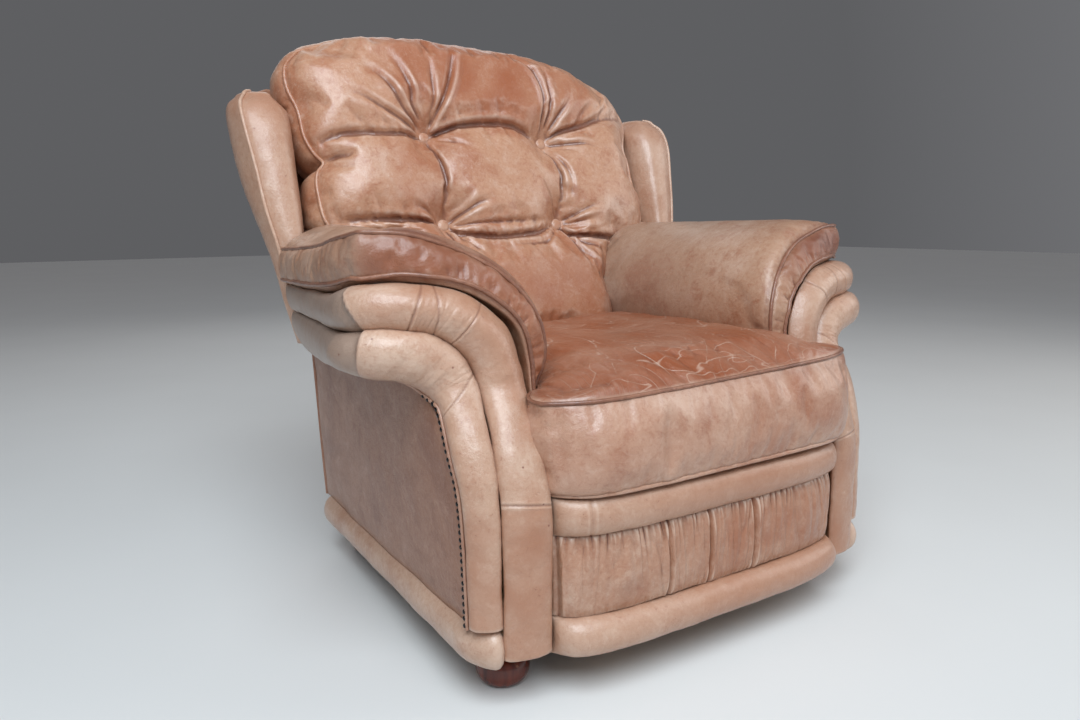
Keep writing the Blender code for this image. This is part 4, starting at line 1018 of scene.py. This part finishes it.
def front_band(name, band, proud, material, slot, node, steps, tall, inward=0.022, fold=None):
    """A padded band of the bowed front, rounded in at both ends; fold adds to its height."""
    right = smooth_through(FRONT_BOW, steps // 2 + 1)
    bow = np.vstack([right[::-1] * [-1.0, 1.0], right[1:]])
    run = unit(np.gradient(bow, axis=0))
    out = np.stack([run[:, 1], -run[:, 0]], axis=1)
    end = np.clip((1 - np.abs(np.linspace(-1, 1, len(bow)))) * 9, 0, 1) ** 0.5
    low, high = band
    turn = np.linspace(0, math.pi, tall + 1)
    rings = []
    for point, way, size in zip(bow, out, end):
        z = high + (low - high) * (1 - np.cos(turn)) / 2
        rise = proud * np.sin(turn) ** 0.8 * size
        if fold:
            rise = rise + fold(point[0], z) * np.sin(turn) ** 0.6 * size
        face = np.column_stack([point + way * rise[:, None], z])
        back = point - way * inward * (0.4 + 0.6 * size)
        rings.append(np.vstack([face, [(*back, low + 0.004), (*back, high - 0.004)], face[:1]]))
    piece, _ = sew(name, [capped(np.array(rings))])
    slacken(piece, (0.050, 0.0014, 51.0), (0.015, 0.0004, 6.0))
    mark_folds(piece, reach=0.008)
    # An even darkening, and painted shade that deepens towards the right, away from the key lamp
    store(piece, "wear_and_shade", 0.25 + 0.50 * ramp(read(piece)[:, 0], -0.22, 0.0))
    fit(piece, material, slot, node)
    return piece


def sewn_joints(places, width, depth):
    def fold(x, z):
        return sum(groove_cut(np.full_like(z, x - place) + (z - 0.16) * 0.02, width, depth)
                   for place in places)
    return fold


def gathers(x, z):
    """Pleats that start at the upper seam, run down unevenly and fade, and the stitched joints."""
    drop = (APRON_BAND[1] - z) / (APRON_BAND[1] - APRON_BAND[0])
    lean = 0.010 * drop * math.sin(x * 19.0 + 0.5)
    pleat = np.zeros_like(z)
    for size, height, seed, fade in ((0.0085, 0.0062, 1.0, 1.7), (0.0140, 0.0072, 2.0, 0.9),
                                     (0.0290, 0.0044, 3.0, 0.4)):
        ridge = np.array([noise.noise(Vector(((x + shift) / size, seed * 7.3, down * 0.9)))
                          for shift, down in zip(lean, drop)])
        pleat = pleat + height * (1.1 * np.abs(ridge) ** 0.7 - 0.4) * np.exp(-drop * fade)
    hem = 0.0011 * math.sin(x * 520.0) * np.exp(-drop * 8.0)
    return pleat + hem + sewn_joints(APRON_JOINTS, 0.0022, 0.0060)(x, z)


border = front_band("front_border_band", BORDER_BAND, 0.018, roll_leather, "roll_leather",
                    "front_border", 260, 22, fold=sewn_joints(BORDER_JOINTS, 0.0020, 0.0018))
apron = front_band("gathered_facing", APRON_BAND, 0.011, apron_leather, "seat_leather",
                   "gathered_apron", 620, 40, fold=gathers)
points = read(apron)
# An even darkening, and painted shade that deepens towards the right, away from the key lamp
store(apron, "wear_and_shade", 0.25 + 0.20 * ramp(points[:, 0], -0.20, 0.0))
spot = np.hypot((points[:, 0] - APRON_STAIN[0]) / 0.030, (points[:, 2] - APRON_STAIN[1]) / 0.016)
low, high = APRON_BAND
edges = np.exp(-(high - points[:, 2]) / 0.006) + np.exp(-(points[:, 2] - low) / 0.005)
store(apron, "burnish", np.clip(0.20 * (1 - ramp(spot, 0.2, 1.2)) + 0.35 * edges, 0, 0.7))
base = front_band("front_base_roll_cover", BASE_BAND, 0.026, roll_leather, "roll_leather",
                  "front_base_roll", 260, 24)


# ---------------------------------------------------------------- Seat cushion
# A loose T-shaped cushion of foam in feathers, boxed, with piping round its top and its bottom. Its
# ears reach out in front of the arms, and its top is darkened, rubbed and finely cracked.

SEAT_OUTLINE = [(0.000, -0.428), (0.120, -0.428), (0.215, -0.421), (0.268, -0.396),
                (0.283, -0.368), (0.268, -0.336), (0.238, -0.312), (0.224, -0.250),
                (0.221, -0.100), (0.221, 0.000), (0.214, 0.064), (0.188, 0.090),
                (0.100, 0.097), (0.000, 0.098)]
SEAT_EAR, SEAT_CORNER = (0.280, -0.384), (0.203, 0.080)
SEAT_WELT_TOP, SEAT_WELT_BOTTOM = 0.394, 0.2775
SEAT_CROWN, SEAT_DIP = 0.031, 0.010
SEAT_PROUD, EAR_PROUD = 0.013, 0.006
EAR_NARROW = 0.040
LOWER_SEAM_OUT = 0.013
SEAT_SHIFT = 0.010
# How much higher each seam is in the middle, and how much for each metre to the right
SEAT_LEAN, SEAT_LEAN_BELOW = (0.0035, 0.033), (-0.003, 0.010)
SEAT_ACROSS, SEAT_BACK, SEAT_STRIP = 100, 92, 15

seat_leather = leather("seat_leather_worn", (0.470, 0.262, 0.175), (0.275, 0.074, 0.026),
                       (0.620, 0.435, 0.335), mottle=0.5, gloss=0.34, lines=0.65, spots=0.2)


def patch_inside(front, back, left, right):
    """A grid of points between four edges that meet at their ends."""
    u = np.linspace(0, 1, len(front))[None, :, None]
    v = np.linspace(0, 1, len(left))[:, None, None]
    edges = (1 - v) * front[None] + v * back[None] + (1 - u) * left[:, None] + u * right[:, None]
    corners = ((1 - u) * (1 - v) * front[0] + u * (1 - v) * front[-1] + (1 - u) * v * back[0]
               + u * v * back[-1])
    return edges - corners


def rim_of(grid):
    """The points round the edge of a grid, once, without the first one again."""
    return np.concatenate([grid[0], grid[1:, -1], grid[-1, -2::-1], grid[-2:0:-1, 0]])


half = smooth_through(SEAT_OUTLINE, 800)
ear, corner = (int(np.argmin(np.linalg.norm(half - spot, axis=1)))
               for spot in (SEAT_EAR, SEAT_CORNER))
flip = np.array([-1.0, 1.0])
front = evenly(np.vstack([half[:ear + 1][::-1] * flip, half[1:ear + 1]]), SEAT_ACROSS)
right_edge = evenly(half[ear:corner + 1], SEAT_BACK)
back = evenly(np.vstack([half[corner:] * flip, half[corner:-1][::-1]]), SEAT_ACROSS)
plan = patch_inside(front, back, right_edge * flip, right_edge) + [SEAT_SHIFT, 0.0]
u = np.linspace(0, 1, SEAT_ACROSS)[None, :]
v = np.linspace(0, 1, SEAT_BACK)[:, None]
rise = 1 - np.exp(-np.minimum(u, 1 - u) * 0.56 / 0.040)
rise = rise * (1 - np.exp(-np.minimum(v, 1 - v) * 0.5 / 0.045))
dip = SEAT_DIP * np.exp(-((u - 0.5) / 0.22) ** 2 - ((v - 0.62) / 0.25) ** 2)
top = np.dstack([plan, SEAT_WELT_TOP + SEAT_LEAN[0] + SEAT_LEAN[1] * plan[:, :, 0]
                 + SEAT_CROWN * rise - dip])
rim_high = rim_of(top)
narrow = 1 - EAR_NARROW * ramp(np.abs(rim_high[:, 0]), 0.21, 0.28)
level = SEAT_WELT_BOTTOM + SEAT_LEAN_BELOW[0] + SEAT_LEAN_BELOW[1] * rim_high[:, 0]
rim_low = np.column_stack([rim_high[:, 0] * narrow, rim_high[:, 1], level])
run = unit(np.roll(rim_high, -1, axis=0) - np.roll(rim_high, 1, axis=0))
out = unit(np.column_stack([run[:, 1], -run[:, 0], np.zeros(len(run))]))
share = np.linspace(0, 1, SEAT_STRIP + 1)[:, None, None]
proud = SEAT_PROUD + (EAR_PROUD - SEAT_PROUD) * ramp(np.abs(rim_high[:, 0]), 0.20, 0.27)
rim_low = rim_low + out * LOWER_SEAM_OUT
strip = rim_high * (1 - share) + rim_low * share
strip = strip + out * proud[None, :, None] * np.sin(math.pi * share) ** 0.7
centre = rim_low.mean(axis=0) - [0.0, 0.06, 0.0]
bottom = np.array([centre + (rim_low - centre) * size for size in (1.0, 0.75, 0.4, 0.0)])
strip, bottom = (np.concatenate([grid, grid[:, :1]], axis=1) for grid in (strip, bottom))
seat, (top_at, bottom_at, strip_at) = sew("seat_cushion_cover", [top, bottom, strip])

held = np.zeros(len(seat.data.vertices))
held[bottom_at] = 1.0
held[strip_at[0]] = 1.0
reach = np.full(len(held), 0.005)
reach[top_at] = 0.010
plump(seat, held, pressure=3.2, slack=0.030, reach=reach, bend=2.5)

# Ease wrinkles round the front corners, and fine creases that sitting has pressed into the top
on_strip, on_top = np.zeros(len(held)), np.zeros(len(held))
on_strip[strip_at[:, :-1]] = np.sin(math.pi * share[:, :, 0]) ** 0.7
on_top[top_at] = 1 - np.exp(-(rise / 0.25) ** 2)
on_strip, on_top = refine(seat, strip=on_strip, top=on_top)
points, normals = read(seat), read(seat, "normal")
corner_near = sum(np.exp(-(np.hypot(points[:, 0] - x, points[:, 1] + 0.385) / 0.065) ** 2)
                  for x in (-0.255, 0.275))
slant = points @ np.array([[1.0, 0.3, 0.0], [0.0, 1.0, 0.0], [0.25, 0.0, 0.35]])
easing = wander(slant, 0.016, 3.0) * 0.0036 * corner_near * on_strip
broad = wander(points * [0.7, 1.0, 0.8], 0.070, 5.0) * 0.0020 * np.maximum(on_strip, on_top)
under_welt = np.exp(-((SEAT_WELT_TOP - 0.014 - points[:, 2]) / 0.006) ** 2) * on_strip * corner_near
pressed = np.abs(wander(points * [1.3, 0.42, 1.0], 0.026, 8.0))
pressed = -np.clip(0.14 - pressed, 0, 1) / 0.14 * 0.0011 * on_top * (
    0.35 + 0.9 * ramp(points[:, 1], -0.15, -0.40))
write(seat, points + normals * (easing + broad + pressed - under_welt * 0.0025)[:, None])
mark_folds(seat, reach=0.007)
points = read(seat)
wear = np.clip(wander(points, 0.070, 13.0) * 0.35 + 0.85, 0, 1)
edge = np.exp(-np.abs(points[:, 2] - SEAT_WELT_TOP) / 0.006) * 0.22
patchy = ramp(wander(points, 0.055, 17.0), 0.05, 0.6)
wear_and_shade = ramp(on_top, 0.0, 0.2) * wear + on_strip * (0.10 + patchy * 0.3)
store(seat, "wear_and_shade", np.clip(wear_and_shade, 0, 1))
store(seat, "burnish", np.clip(edge + on_top * patchy * 0.10, 0, 1))
fit(seat, seat_leather, "seat_leather", "seat_cushion")
for level, row, cord, radius, clear in (("upper", 0, dark_piping, 0.0028, 0.0014),
                                        ("lower", -1, seat_leather, 0.0038, 0.0054)):
    piping(f"seat_{level}_piping", points[strip_at[row][:-1]] + out * clear, cord, "seat_leather",
           radius=radius, closed=True)


# ---------------------------------------------------------------- Back cushion
# The back cushion is a soft feather and fibre case with a piped front panel and a puffed gusset.
# Four covered buttons, tied through to the rear, pull it into plump panels with folds that fan out.

BACK_Y, BACK_Z = 0.265, 0.766
BACK_LEFT = [(-0.185, 0.352), (-0.205, 0.400), (-0.218, 0.500), (-0.240, 0.552), (-0.310, 0.580),
             (-0.343, 0.606), (-0.350, 0.660), (-0.345, 0.693), (-0.331, 0.711), (-0.344, 0.727),
             (-0.357, 0.758), (-0.361, 0.805), (-0.373, 0.843), (-0.370, 0.882), (-0.343, 0.913)]
BACK_RIGHT = [(0.185, 0.352), (0.213, 0.397), (0.225, 0.444), (0.231, 0.485), (0.242, 0.522),
              (0.265, 0.552), (0.330, 0.577), (0.351, 0.603), (0.358, 0.650), (0.353, 0.690),
              (0.355, 0.725), (0.352, 0.765), (0.363, 0.800), (0.364, 0.828), (0.350, 0.855),
              (0.324, 0.884)]
BACK_TOP = [(-0.343, 0.913), (-0.272, 0.942), (-0.180, 0.956), (-0.050, 0.960), (0.090, 0.954),
            (0.180, 0.941), (0.265, 0.915), (0.324, 0.884)]
BACK_THICK = 0.100
GUSSET_PROUD = 0.020
BACK_PUFF = 0.046
BUTTONS = [(-0.132, 0.764), (0.132, 0.764), (-0.127, 0.5985), (0.127, 0.5985)]
BACK_ACROSS, BACK_UP, GUSSET_STRIP = 150, 112, 9

# Valleys that the buttons pull, from the left to the right or downwards: points (x, z), reach on
# the side above, reach on the side below, and how much of the puff they take away
VALLEYS = [
    ([(-0.132, 0.764), (-0.160, 0.757), (-0.231, 0.753), (-0.274, 0.753), (-0.316, 0.746),
      (-0.358, 0.735)], 0.014, 0.022, 0.34),
    ([(-0.132, 0.764), (-0.107, 0.769), (-0.062, 0.778), (-0.017, 0.783), (0.029, 0.785),
      (0.060, 0.781), (0.090, 0.771), (0.132, 0.764)], 0.014, 0.036, 0.52),
    ([(0.132, 0.764), (0.161, 0.777), (0.199, 0.786), (0.236, 0.797), (0.280, 0.810),
      (0.350, 0.822)], 0.014, 0.026, 0.42),
    ([(-0.127, 0.5985), (-0.200, 0.600), (-0.260, 0.602), (-0.345, 0.604)], 0.026, 0.018, 0.50),
    ([(-0.127, 0.5985), (-0.098, 0.579), (-0.057, 0.570), (-0.020, 0.568), (0.021, 0.570),
      (0.070, 0.577), (0.127, 0.5985)], 0.030, 0.015, 0.52),
    ([(0.127, 0.5985), (0.142, 0.574), (0.187, 0.567), (0.259, 0.565), (0.310, 0.570)],
     0.034, 0.014, 0.60),
    ([(-0.132, 0.764), (-0.124, 0.716), (-0.120, 0.684), (-0.122, 0.647), (-0.127, 0.5985)],
     0.016, 0.016, 0.20),
    ([(0.132, 0.764), (0.139, 0.720), (0.141, 0.680), (0.137, 0.640), (0.127, 0.5985)],
     0.016, 0.016, 0.22),
]
# Sharp folds in the cover: points from the root to the tip, depth, width, and the share of the
# depth by which the leather stands up on the left and on the right of the fold
FOLDS = [
    ([(-0.140, 0.760), (-0.191, 0.755), (-0.231, 0.753), (-0.274, 0.753), (-0.316, 0.746),
      (-0.362, 0.735)], 0.0050, 0.0050, 0.3, 0.6),
    ([(-0.128, 0.766), (-0.107, 0.768), (-0.062, 0.778), (-0.017, 0.783), (0.029, 0.785),
      (0.060, 0.781), (0.085, 0.769), (0.100, 0.758), (0.126, 0.758)], 0.0085, 0.0052, 0.9, 0.0),
    ([(0.136, 0.768), (0.161, 0.777), (0.199, 0.786), (0.236, 0.797), (0.285, 0.812)],
     0.0070, 0.0050, 0.5, 0.7),
    ([(-0.140, 0.768), (-0.177, 0.775), (-0.214, 0.790), (-0.240, 0.805), (-0.261, 0.815),
      (-0.290, 0.820)], 0.0060, 0.0050, 0.2, 0.7),
    ([(-0.137, 0.772), (-0.168, 0.791), (-0.184, 0.811), (-0.199, 0.835), (-0.221, 0.856),
      (-0.250, 0.870)], 0.0068, 0.0052, 0.2, 0.9),
    ([(-0.138, 0.780), (-0.155, 0.805), (-0.158, 0.830), (-0.167, 0.855), (-0.180, 0.879),
      (-0.200, 0.900)], 0.0060, 0.0052, 0.0, 0.9),
    ([(-0.124, 0.785), (-0.116, 0.814), (-0.113, 0.850), (-0.111, 0.880), (-0.112, 0.910)],
     0.0045, 0.0046, 0.0, 0.9),
    ([(-0.126, 0.772), (-0.101, 0.812), (-0.084, 0.842), (-0.070, 0.873), (-0.060, 0.905),
      (-0.052, 0.945)], 0.0080, 0.0056, 0.0, 1.0),
    ([(0.128, 0.775), (0.130, 0.812), (0.134, 0.845), (0.131, 0.873), (0.120, 0.900),
      (0.098, 0.926), (0.070, 0.945)], 0.0078, 0.0054, 0.9, 0.2),
    ([(0.136, 0.780), (0.147, 0.820), (0.150, 0.855), (0.150, 0.885), (0.140, 0.915)],
     0.0052, 0.0044, 0.5, 0.7),
    ([(0.138, 0.772), (0.163, 0.803), (0.185, 0.830), (0.205, 0.856)], 0.0062, 0.0048, 0.1, 0.9),
    ([(0.142, 0.758), (0.180, 0.752), (0.215, 0.748), (0.245, 0.736)], 0.0040, 0.0044, 0.9, 0.3),
    ([(0.142, 0.753), (0.170, 0.742), (0.205, 0.731)], 0.0025, 0.0044, 0.8, 0.3),
    ([(-0.110, 0.752), (-0.075, 0.738), (-0.050, 0.722)], 0.0022, 0.0044, 0.8, 0.2),
    ([(-0.131, 0.755), (-0.124, 0.716), (-0.120, 0.684), (-0.122, 0.647), (-0.128, 0.606)],
     0.0048, 0.0044, 0.7, 0.1),
    ([(0.128, 0.752), (0.139, 0.720), (0.141, 0.680), (0.137, 0.640), (0.128, 0.606)],
     0.0048, 0.0044, 0.7, 0.1),
    ([(0.140, 0.740), (0.156, 0.705), (0.162, 0.670), (0.154, 0.635)], 0.0030, 0.0040, 0.8, 0.2),
    ([(-0.118, 0.596), (-0.084, 0.592), (-0.018, 0.592), (0.050, 0.595), (0.118, 0.598)],
     0.0040, 0.0046, 0.3, 0.5),
    ([(-0.120, 0.592), (-0.098, 0.577), (-0.057, 0.570), (-0.020, 0.568), (0.021, 0.570),
      (0.070, 0.576), (0.118, 0.594)], 0.0080, 0.0046, 0.5, 0.3),
    ([(-0.118, 0.602), (-0.085, 0.616), (-0.055, 0.628), (-0.025, 0.634)],
     0.0048, 0.0050, 0.2, 1.0),
    ([(-0.138, 0.602), (-0.170, 0.618), (-0.205, 0.628)], 0.0040, 0.0050, 1.0, 0.2),
    ([(-0.140, 0.598), (-0.200, 0.601), (-0.260, 0.603), (-0.345, 0.604)],
     0.0070, 0.0050, 0.5, 0.5),
    ([(0.134, 0.590), (0.145, 0.574), (0.187, 0.567), (0.259, 0.565), (0.310, 0.570)],
     0.0085, 0.0048, 0.6, 0.3),
    ([(0.138, 0.602), (0.165, 0.612), (0.195, 0.622), (0.225, 0.632)], 0.0048, 0.0050, 0.2, 1.0),
    ([(0.138, 0.597), (0.175, 0.597), (0.215, 0.600)], 0.0036, 0.0044, 0.4, 0.8),
    ([(0.133, 0.588), (0.160, 0.560), (0.185, 0.545), (0.215, 0.530)], 0.0050, 0.0044, 0.9, 0.3),
    ([(0.129, 0.586), (0.146, 0.545), (0.158, 0.510), (0.172, 0.468)], 0.0052, 0.0050, 0.8, 0.4),
    ([(0.131, 0.587), (0.158, 0.535), (0.175, 0.495), (0.188, 0.440)], 0.0048, 0.0048, 0.8, 0.4),
    ([(0.118, 0.588), (0.080, 0.560), (0.035, 0.552), (-0.010, 0.555)], 0.0030, 0.0050, 0.3, 0.8),
    ([(-0.126, 0.586), (-0.120, 0.545), (-0.125, 0.500), (-0.140, 0.460)],
     0.0050, 0.0050, 0.6, 0.6),
    ([(-0.120, 0.588), (-0.085, 0.550), (-0.060, 0.515)], 0.0045, 0.0050, 0.6, 0.6),
    ([(-0.334, 0.712), (-0.318, 0.714), (-0.300, 0.713), (-0.280, 0.716)],
     0.0060, 0.0055, 0.2, 0.8),
]

back_leather = leather("back_cushion_leather", (0.480, 0.248, 0.148), (0.320, 0.092, 0.034),
                       (0.620, 0.435, 0.340), mottle=0.6, gloss=0.33, spots=0.2)


def back_plane(x, z, out=0.0):
    """A point on the reclined plane of the back, moved out of it by a distance."""
    lean = math.hypot(1.0, RECLINE)
    y = BACK_Y + RECLINE * (z - BACK_Z)
    return np.stack([x, y - out / lean, z + out * RECLINE / lean], axis=-1)


def from_line(x, z, line):
    """Signed distance from points to a line of (x, z) points, and the share of the way along it."""
    fine = smooth_through(line, 100)
    run = unit(np.gradient(fine, axis=0))
    away = np.stack([x, z], axis=-1).reshape(-1, 2)
    near = np.full(len(away), 99)
    far = np.full(len(away), np.inf)
    for number, point in enumerate(fine):
        distance = np.hypot(*(away - point).T)
        near[distance < far] = number
        far = np.minimum(far, distance)
    gap = away - fine[near]
    side = np.sign(run[near, 0] * gap[:, 1] - run[near, 1] * gap[:, 0])
    return (far * side).reshape(x.shape), (near / 99.0).reshape(x.shape)


left, right = (evenly(smooth_through(line, 600), BACK_UP) for line in (BACK_LEFT, BACK_RIGHT))
top = evenly(smooth_through(BACK_TOP, 600), BACK_ACROSS)
bottom = np.linspace(left[0], right[0], BACK_ACROSS)
x, z = np.moveaxis(patch_inside(bottom, top, left, right), -1, 0)
rim = rim_of(np.dstack([x, z]))
edge = np.array([np.hypot(*(rim - spot).T).min() for spot in np.dstack([x, z]).reshape(-1, 2)])
edge = edge.reshape(x.shape)
full_top = ramp(z, 0.86, 0.93) * (1 - ramp(np.abs(x), 0.22, 0.31))
puff = BACK_PUFF * (1 - np.exp(-edge / (0.026 - 0.015 * full_top)))
kept = np.ones_like(x)
tight = np.zeros_like(x)
for line, above, below, pull in VALLEYS:
    far, share = from_line(x, z, line)
    if line[-1][0] < line[0][0]:
        far = -far
    slack = 1 - 0.35 * np.sin(math.pi * share)
    wide = np.where(far > 0, above, below)
    kept = kept * (1 - pull * slack * np.exp(-(np.abs(far) / wide) ** 1.3))
    tight = np.maximum(tight, 0.5 * np.exp(-(far / 0.006) ** 2))
from_button = np.min([np.hypot(x - cx, z - cz) for cx, cz in BUTTONS], axis=0)
kept = kept * (1 - 0.86 * np.exp(-(from_button / 0.028) ** 1.4))
front = back_plane(x, z, puff * kept + 0.002 * np.clip(edge / 0.02, 0, 1))

# The gusset joins the front panel to a plain rear panel, which closes towards its middle
rim_front = rim_of(front)
rim_rear = back_plane(rim[:, 0] * 0.985, rim[:, 1] - 0.002, -BACK_THICK)
back_way = np.array([0, 1.0, -RECLINE]) / math.hypot(1.0, RECLINE)
outward = rim_front - rim_front.mean(axis=0)
outward = unit(outward - np.outer(outward @ back_way, back_way))
share = np.linspace(0, 1, GUSSET_STRIP + 1)[:, None, None]
pinched = np.exp(-(np.hypot(rim[:, 0] + 0.331, rim[:, 1] - 0.711) / 0.013) ** 2)
proud = (GUSSET_PROUD * (1 - 0.8 * pinched))[None, :, None]
gusset = rim_front * (1 - share) + rim_rear * share
gusset = gusset + outward * proud * np.sin(math.pi * share) ** 0.65
centre = rim_rear.mean(axis=0)
behind = np.array([centre + (rim_rear - centre) * size for size in (1.0, 0.8, 0.5, 0.2, 0.0)])
gusset, behind = (np.concatenate([grid, grid[:, :1]], axis=1) for grid in (gusset, behind))
cushion, (front_at, behind_at, gusset_at) = sew("back_cushion_cover", [front, behind, gusset])

held = np.zeros(len(cushion.data.vertices))
held[behind_at] = 1.0
held[gusset_at[0]] = 1.0
tight = np.maximum(np.clip(1.6 - from_button / 0.011, 0, 1), tight)
held[front_at] = np.maximum(held[front_at], tight)
plump(cushion, held, pressure=3.5, slack=0.030, reach=0.009, bend=2.0)

on_front, on_gusset, along_rim = (np.zeros(len(held)) for _ in range(3))
flat_x, flat_z = (np.full(len(held), 9.0) for _ in range(2))
on_front[front_at] = np.clip(edge / 0.012, 0, 1)
flat_x[front_at], flat_z[front_at] = x, z
on_gusset[gusset_at[:, :-1]] = np.sin(math.pi * share[:, :, 0]) ** 0.6
along_rim[gusset_at[:, :-1]] = lengthwise(rim_front)[None, :]
on_front, on_gusset, along_rim, flat_x, flat_z = refine(
    cushion, front=on_front, gusset=on_gusset, along=along_rim, across=flat_x, up=flat_z)

# Fold the cover where the buttons gather it, and tuck the gusset where it is eased round
near = np.flatnonzero(on_front > 0)
rise = np.zeros(len(on_front))
for line, depth, wide, on_left, on_right in FOLDS:
    far, share = from_line(flat_x[near], flat_z[near], line)
    fade = np.clip((1 - share) / 0.45, 0, 1) ** 0.9 * np.clip(share / 0.08 + 0.25, 0, 1)
    wide = wide * (0.75 + 0.75 * share)
    ridge = np.exp(-((np.abs(far) - 1.9 * wide) / (1.1 * wide)) ** 2)
    ridge = np.where(far > 0, on_left, on_right) * ridge
    rise[near] += depth * fade * (0.50 * ridge - np.exp(-(far / wide) ** 2))
away = np.min([np.hypot(flat_x - cx, flat_z - cz) for cx, cz in BUTTONS], axis=0)
rise = rise * np.clip((away - 0.008) / 0.012, 0, 1) * on_front
points, normals = read(cushion), read(cushion, "normal")
tucks = wander(np.column_stack([along_rim / 0.020, points[:, 0] * 9, points[:, 2] * 9]), 1.0, 2.0)
broad = wander(points, 0.065, 7.0) * 0.0020 + wander(points, 0.022, 9.0) * 0.0007
rise = rise + on_gusset * (tucks * 0.0034 + broad) + on_front * np.clip(away / 0.05, 0, 1) * broad
write(cushion, points + normals * rise[:, None])
mark_folds(cushion, reach=0.009)
points = read(cushion)
# Painted shade darkens the top middle of the front, where it turns upward; the cover is also darker
# towards the bottom, in a band on the left below the upper buttons, and in clouds
upper = ramp(points[:, 2], 0.77, 0.86) * np.exp(-((points[:, 0] - 0.01) / 0.19) ** 2)
lower = (1 - ramp(points[:, 2], 0.50, 0.60)) * 0.7
sides = np.exp(-((points[:, 0] + 0.175) / 0.05) ** 2) * (1 - ramp(points[:, 2], 0.74, 0.78)) * 0.5
cloudy = np.clip(wander(points, 0.060, 15.0) * 0.6 + 0.85, 0, 1)
store(cushion, "wear_and_shade", np.clip((upper + lower + sides) * cloudy, 0, 1))
fit(cushion, back_leather, "back_leather", "back_cushion")
seam = points[gusset_at[0][:-1]]
seam = seam + outward * (0.0010 - 0.0045 * ramp(seam[:, 2], 0.905, 0.935))[:, None]
visible = seam[:, 2] > 0.40
start = int(np.argmax(~visible))
order = np.roll(np.arange(len(seam)), -start)
piping("back_cushion_piping", seam[order[visible[order]]], back_leather, "back_leather",
       radius=0.0036)

for number, (cx, cz) in enumerate(BUTTONS, 1):
    turn = full_turn(32)
    rings = []
    for radius, out in ((0.0, 0.0020), (0.0105, 0.0020), (0.0122, 0.0048), (0.0118, 0.0072),
                        (0.0095, 0.0092), (0.0058, 0.0104), (0.0, 0.0109)):
        rings.append(back_plane(cx + radius * np.cos(turn),
                                cz + radius * np.sin(turn) / math.hypot(1.0, RECLINE), out))
    button, _ = sew(f"covered_button_{number}", [np.array(rings)])
    slacken(button, (0.004, 0.0003, number * 1.0))
    subdivide(button)
    mark_folds(button, reach=0.004)
    fit(button, back_leather, "back_leather", f"back_button_{number}")


# ---------------------------------------------------------------- Camera, floor and light
# The chair stands on a plain pale studio floor. One broad soft lamp hangs in front of it and above,
# weaker ones fill from the right and from behind, and the pale surroundings light the rest.

EYE = Vector((-0.7713, -1.1839, 0.6095))
TURN, DIP, TILT = (math.radians(angle) for angle in (-31.9515, 10.0493, -0.392))
LENS = 26.28
FLOOR_HALF, FLOOR_TOP = 14.0, -0.0005
CHAIR_MIDDLE = Vector((0.0, 0.0, 0.45))

forward = Vector((-math.sin(TURN) * math.cos(DIP), math.cos(TURN) * math.cos(DIP), -math.sin(DIP)))
across = Vector((math.cos(TURN), math.sin(TURN), 0.0))
upward = across.cross(forward)
right = across * math.cos(TILT) + upward * math.sin(TILT)
top = upward * math.cos(TILT) - across * math.sin(TILT)
camera = bpy.data.objects.new("camera", bpy.data.cameras.new("camera"))
camera.data.lens = LENS
camera.matrix_world = Matrix.Translation(EYE) @ Matrix((right, top, -forward)).transposed().to_4x4()
bpy.context.scene.collection.objects.link(camera)
bpy.context.scene.camera = camera


def pale_floor():
    floor = Finish("studio_floor")
    dust = floor.cloud(floor.place(), 2.0, detail=2.0)
    return floor.shade({"Base Color": floor.blend((0.70, 0.69, 0.67), (0.74, 0.73, 0.71), dust),
                        "Roughness": 0.75})


ground = bpy.data.meshes.new("studio_floor")
ground.from_pydata([(x * FLOOR_HALF, y * FLOOR_HALF, FLOOR_TOP)
                    for x, y in ((-1, -1), (1, -1), (1, 1), (-1, 1))], [], [(0, 1, 2, 3)])
ground.materials.append(pale_floor())
floor = bpy.data.objects.new("studio_floor", ground)
bpy.context.scene.collection.objects.link(floor)
floor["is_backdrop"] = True


def lamp(name, place, size, power, tint):
    """A square soft lamp that looks at the middle of the chair."""
    light = bpy.data.lights.new(name, "AREA")
    light.shape = "SQUARE"
    light.size = size
    light.energy = power
    light.color = tint
    holder = bpy.data.objects.new(name, light)
    holder.location = place
    holder.rotation_euler = (CHAIR_MIDDLE - Vector(place)).to_track_quat("-Z", "Y").to_euler()
    bpy.context.scene.collection.objects.link(holder)


lamp("key_lamp", (-1.05, -1.65, 2.65), 2.1, 108.0, (0.82, 0.92, 1.0))
lamp("fill_lamp", (2.9, -1.6, 1.7), 2.2, 28.0, (1.0, 0.97, 0.94))
lamp("rear_lamp", (0.8, 3.0, 2.4), 2.2, 12.0, (1.0, 1.0, 1.0))

# The surroundings are paler in front of the chair than behind it
studio = Finish("studio", bpy.data.worlds.new("studio"), "Background")
way = studio.node("ShaderNodeTexCoord", out="Generated")
behind = studio.node("ShaderNodeSeparateXYZ", None, {0: way}, out="Y")
level = studio.node("ShaderNodeMapRange", None, {"Value": behind, "From Min": -0.5, "From Max": 0.6,
                                                 "To Min": 0.36, "To Max": 0.12})
bpy.context.scene.world = studio.shade({"Color": (0.94, 0.95, 1.0), "Strength": level})
bpy.context.scene.view_settings.view_transform = "Standard"

low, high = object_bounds()
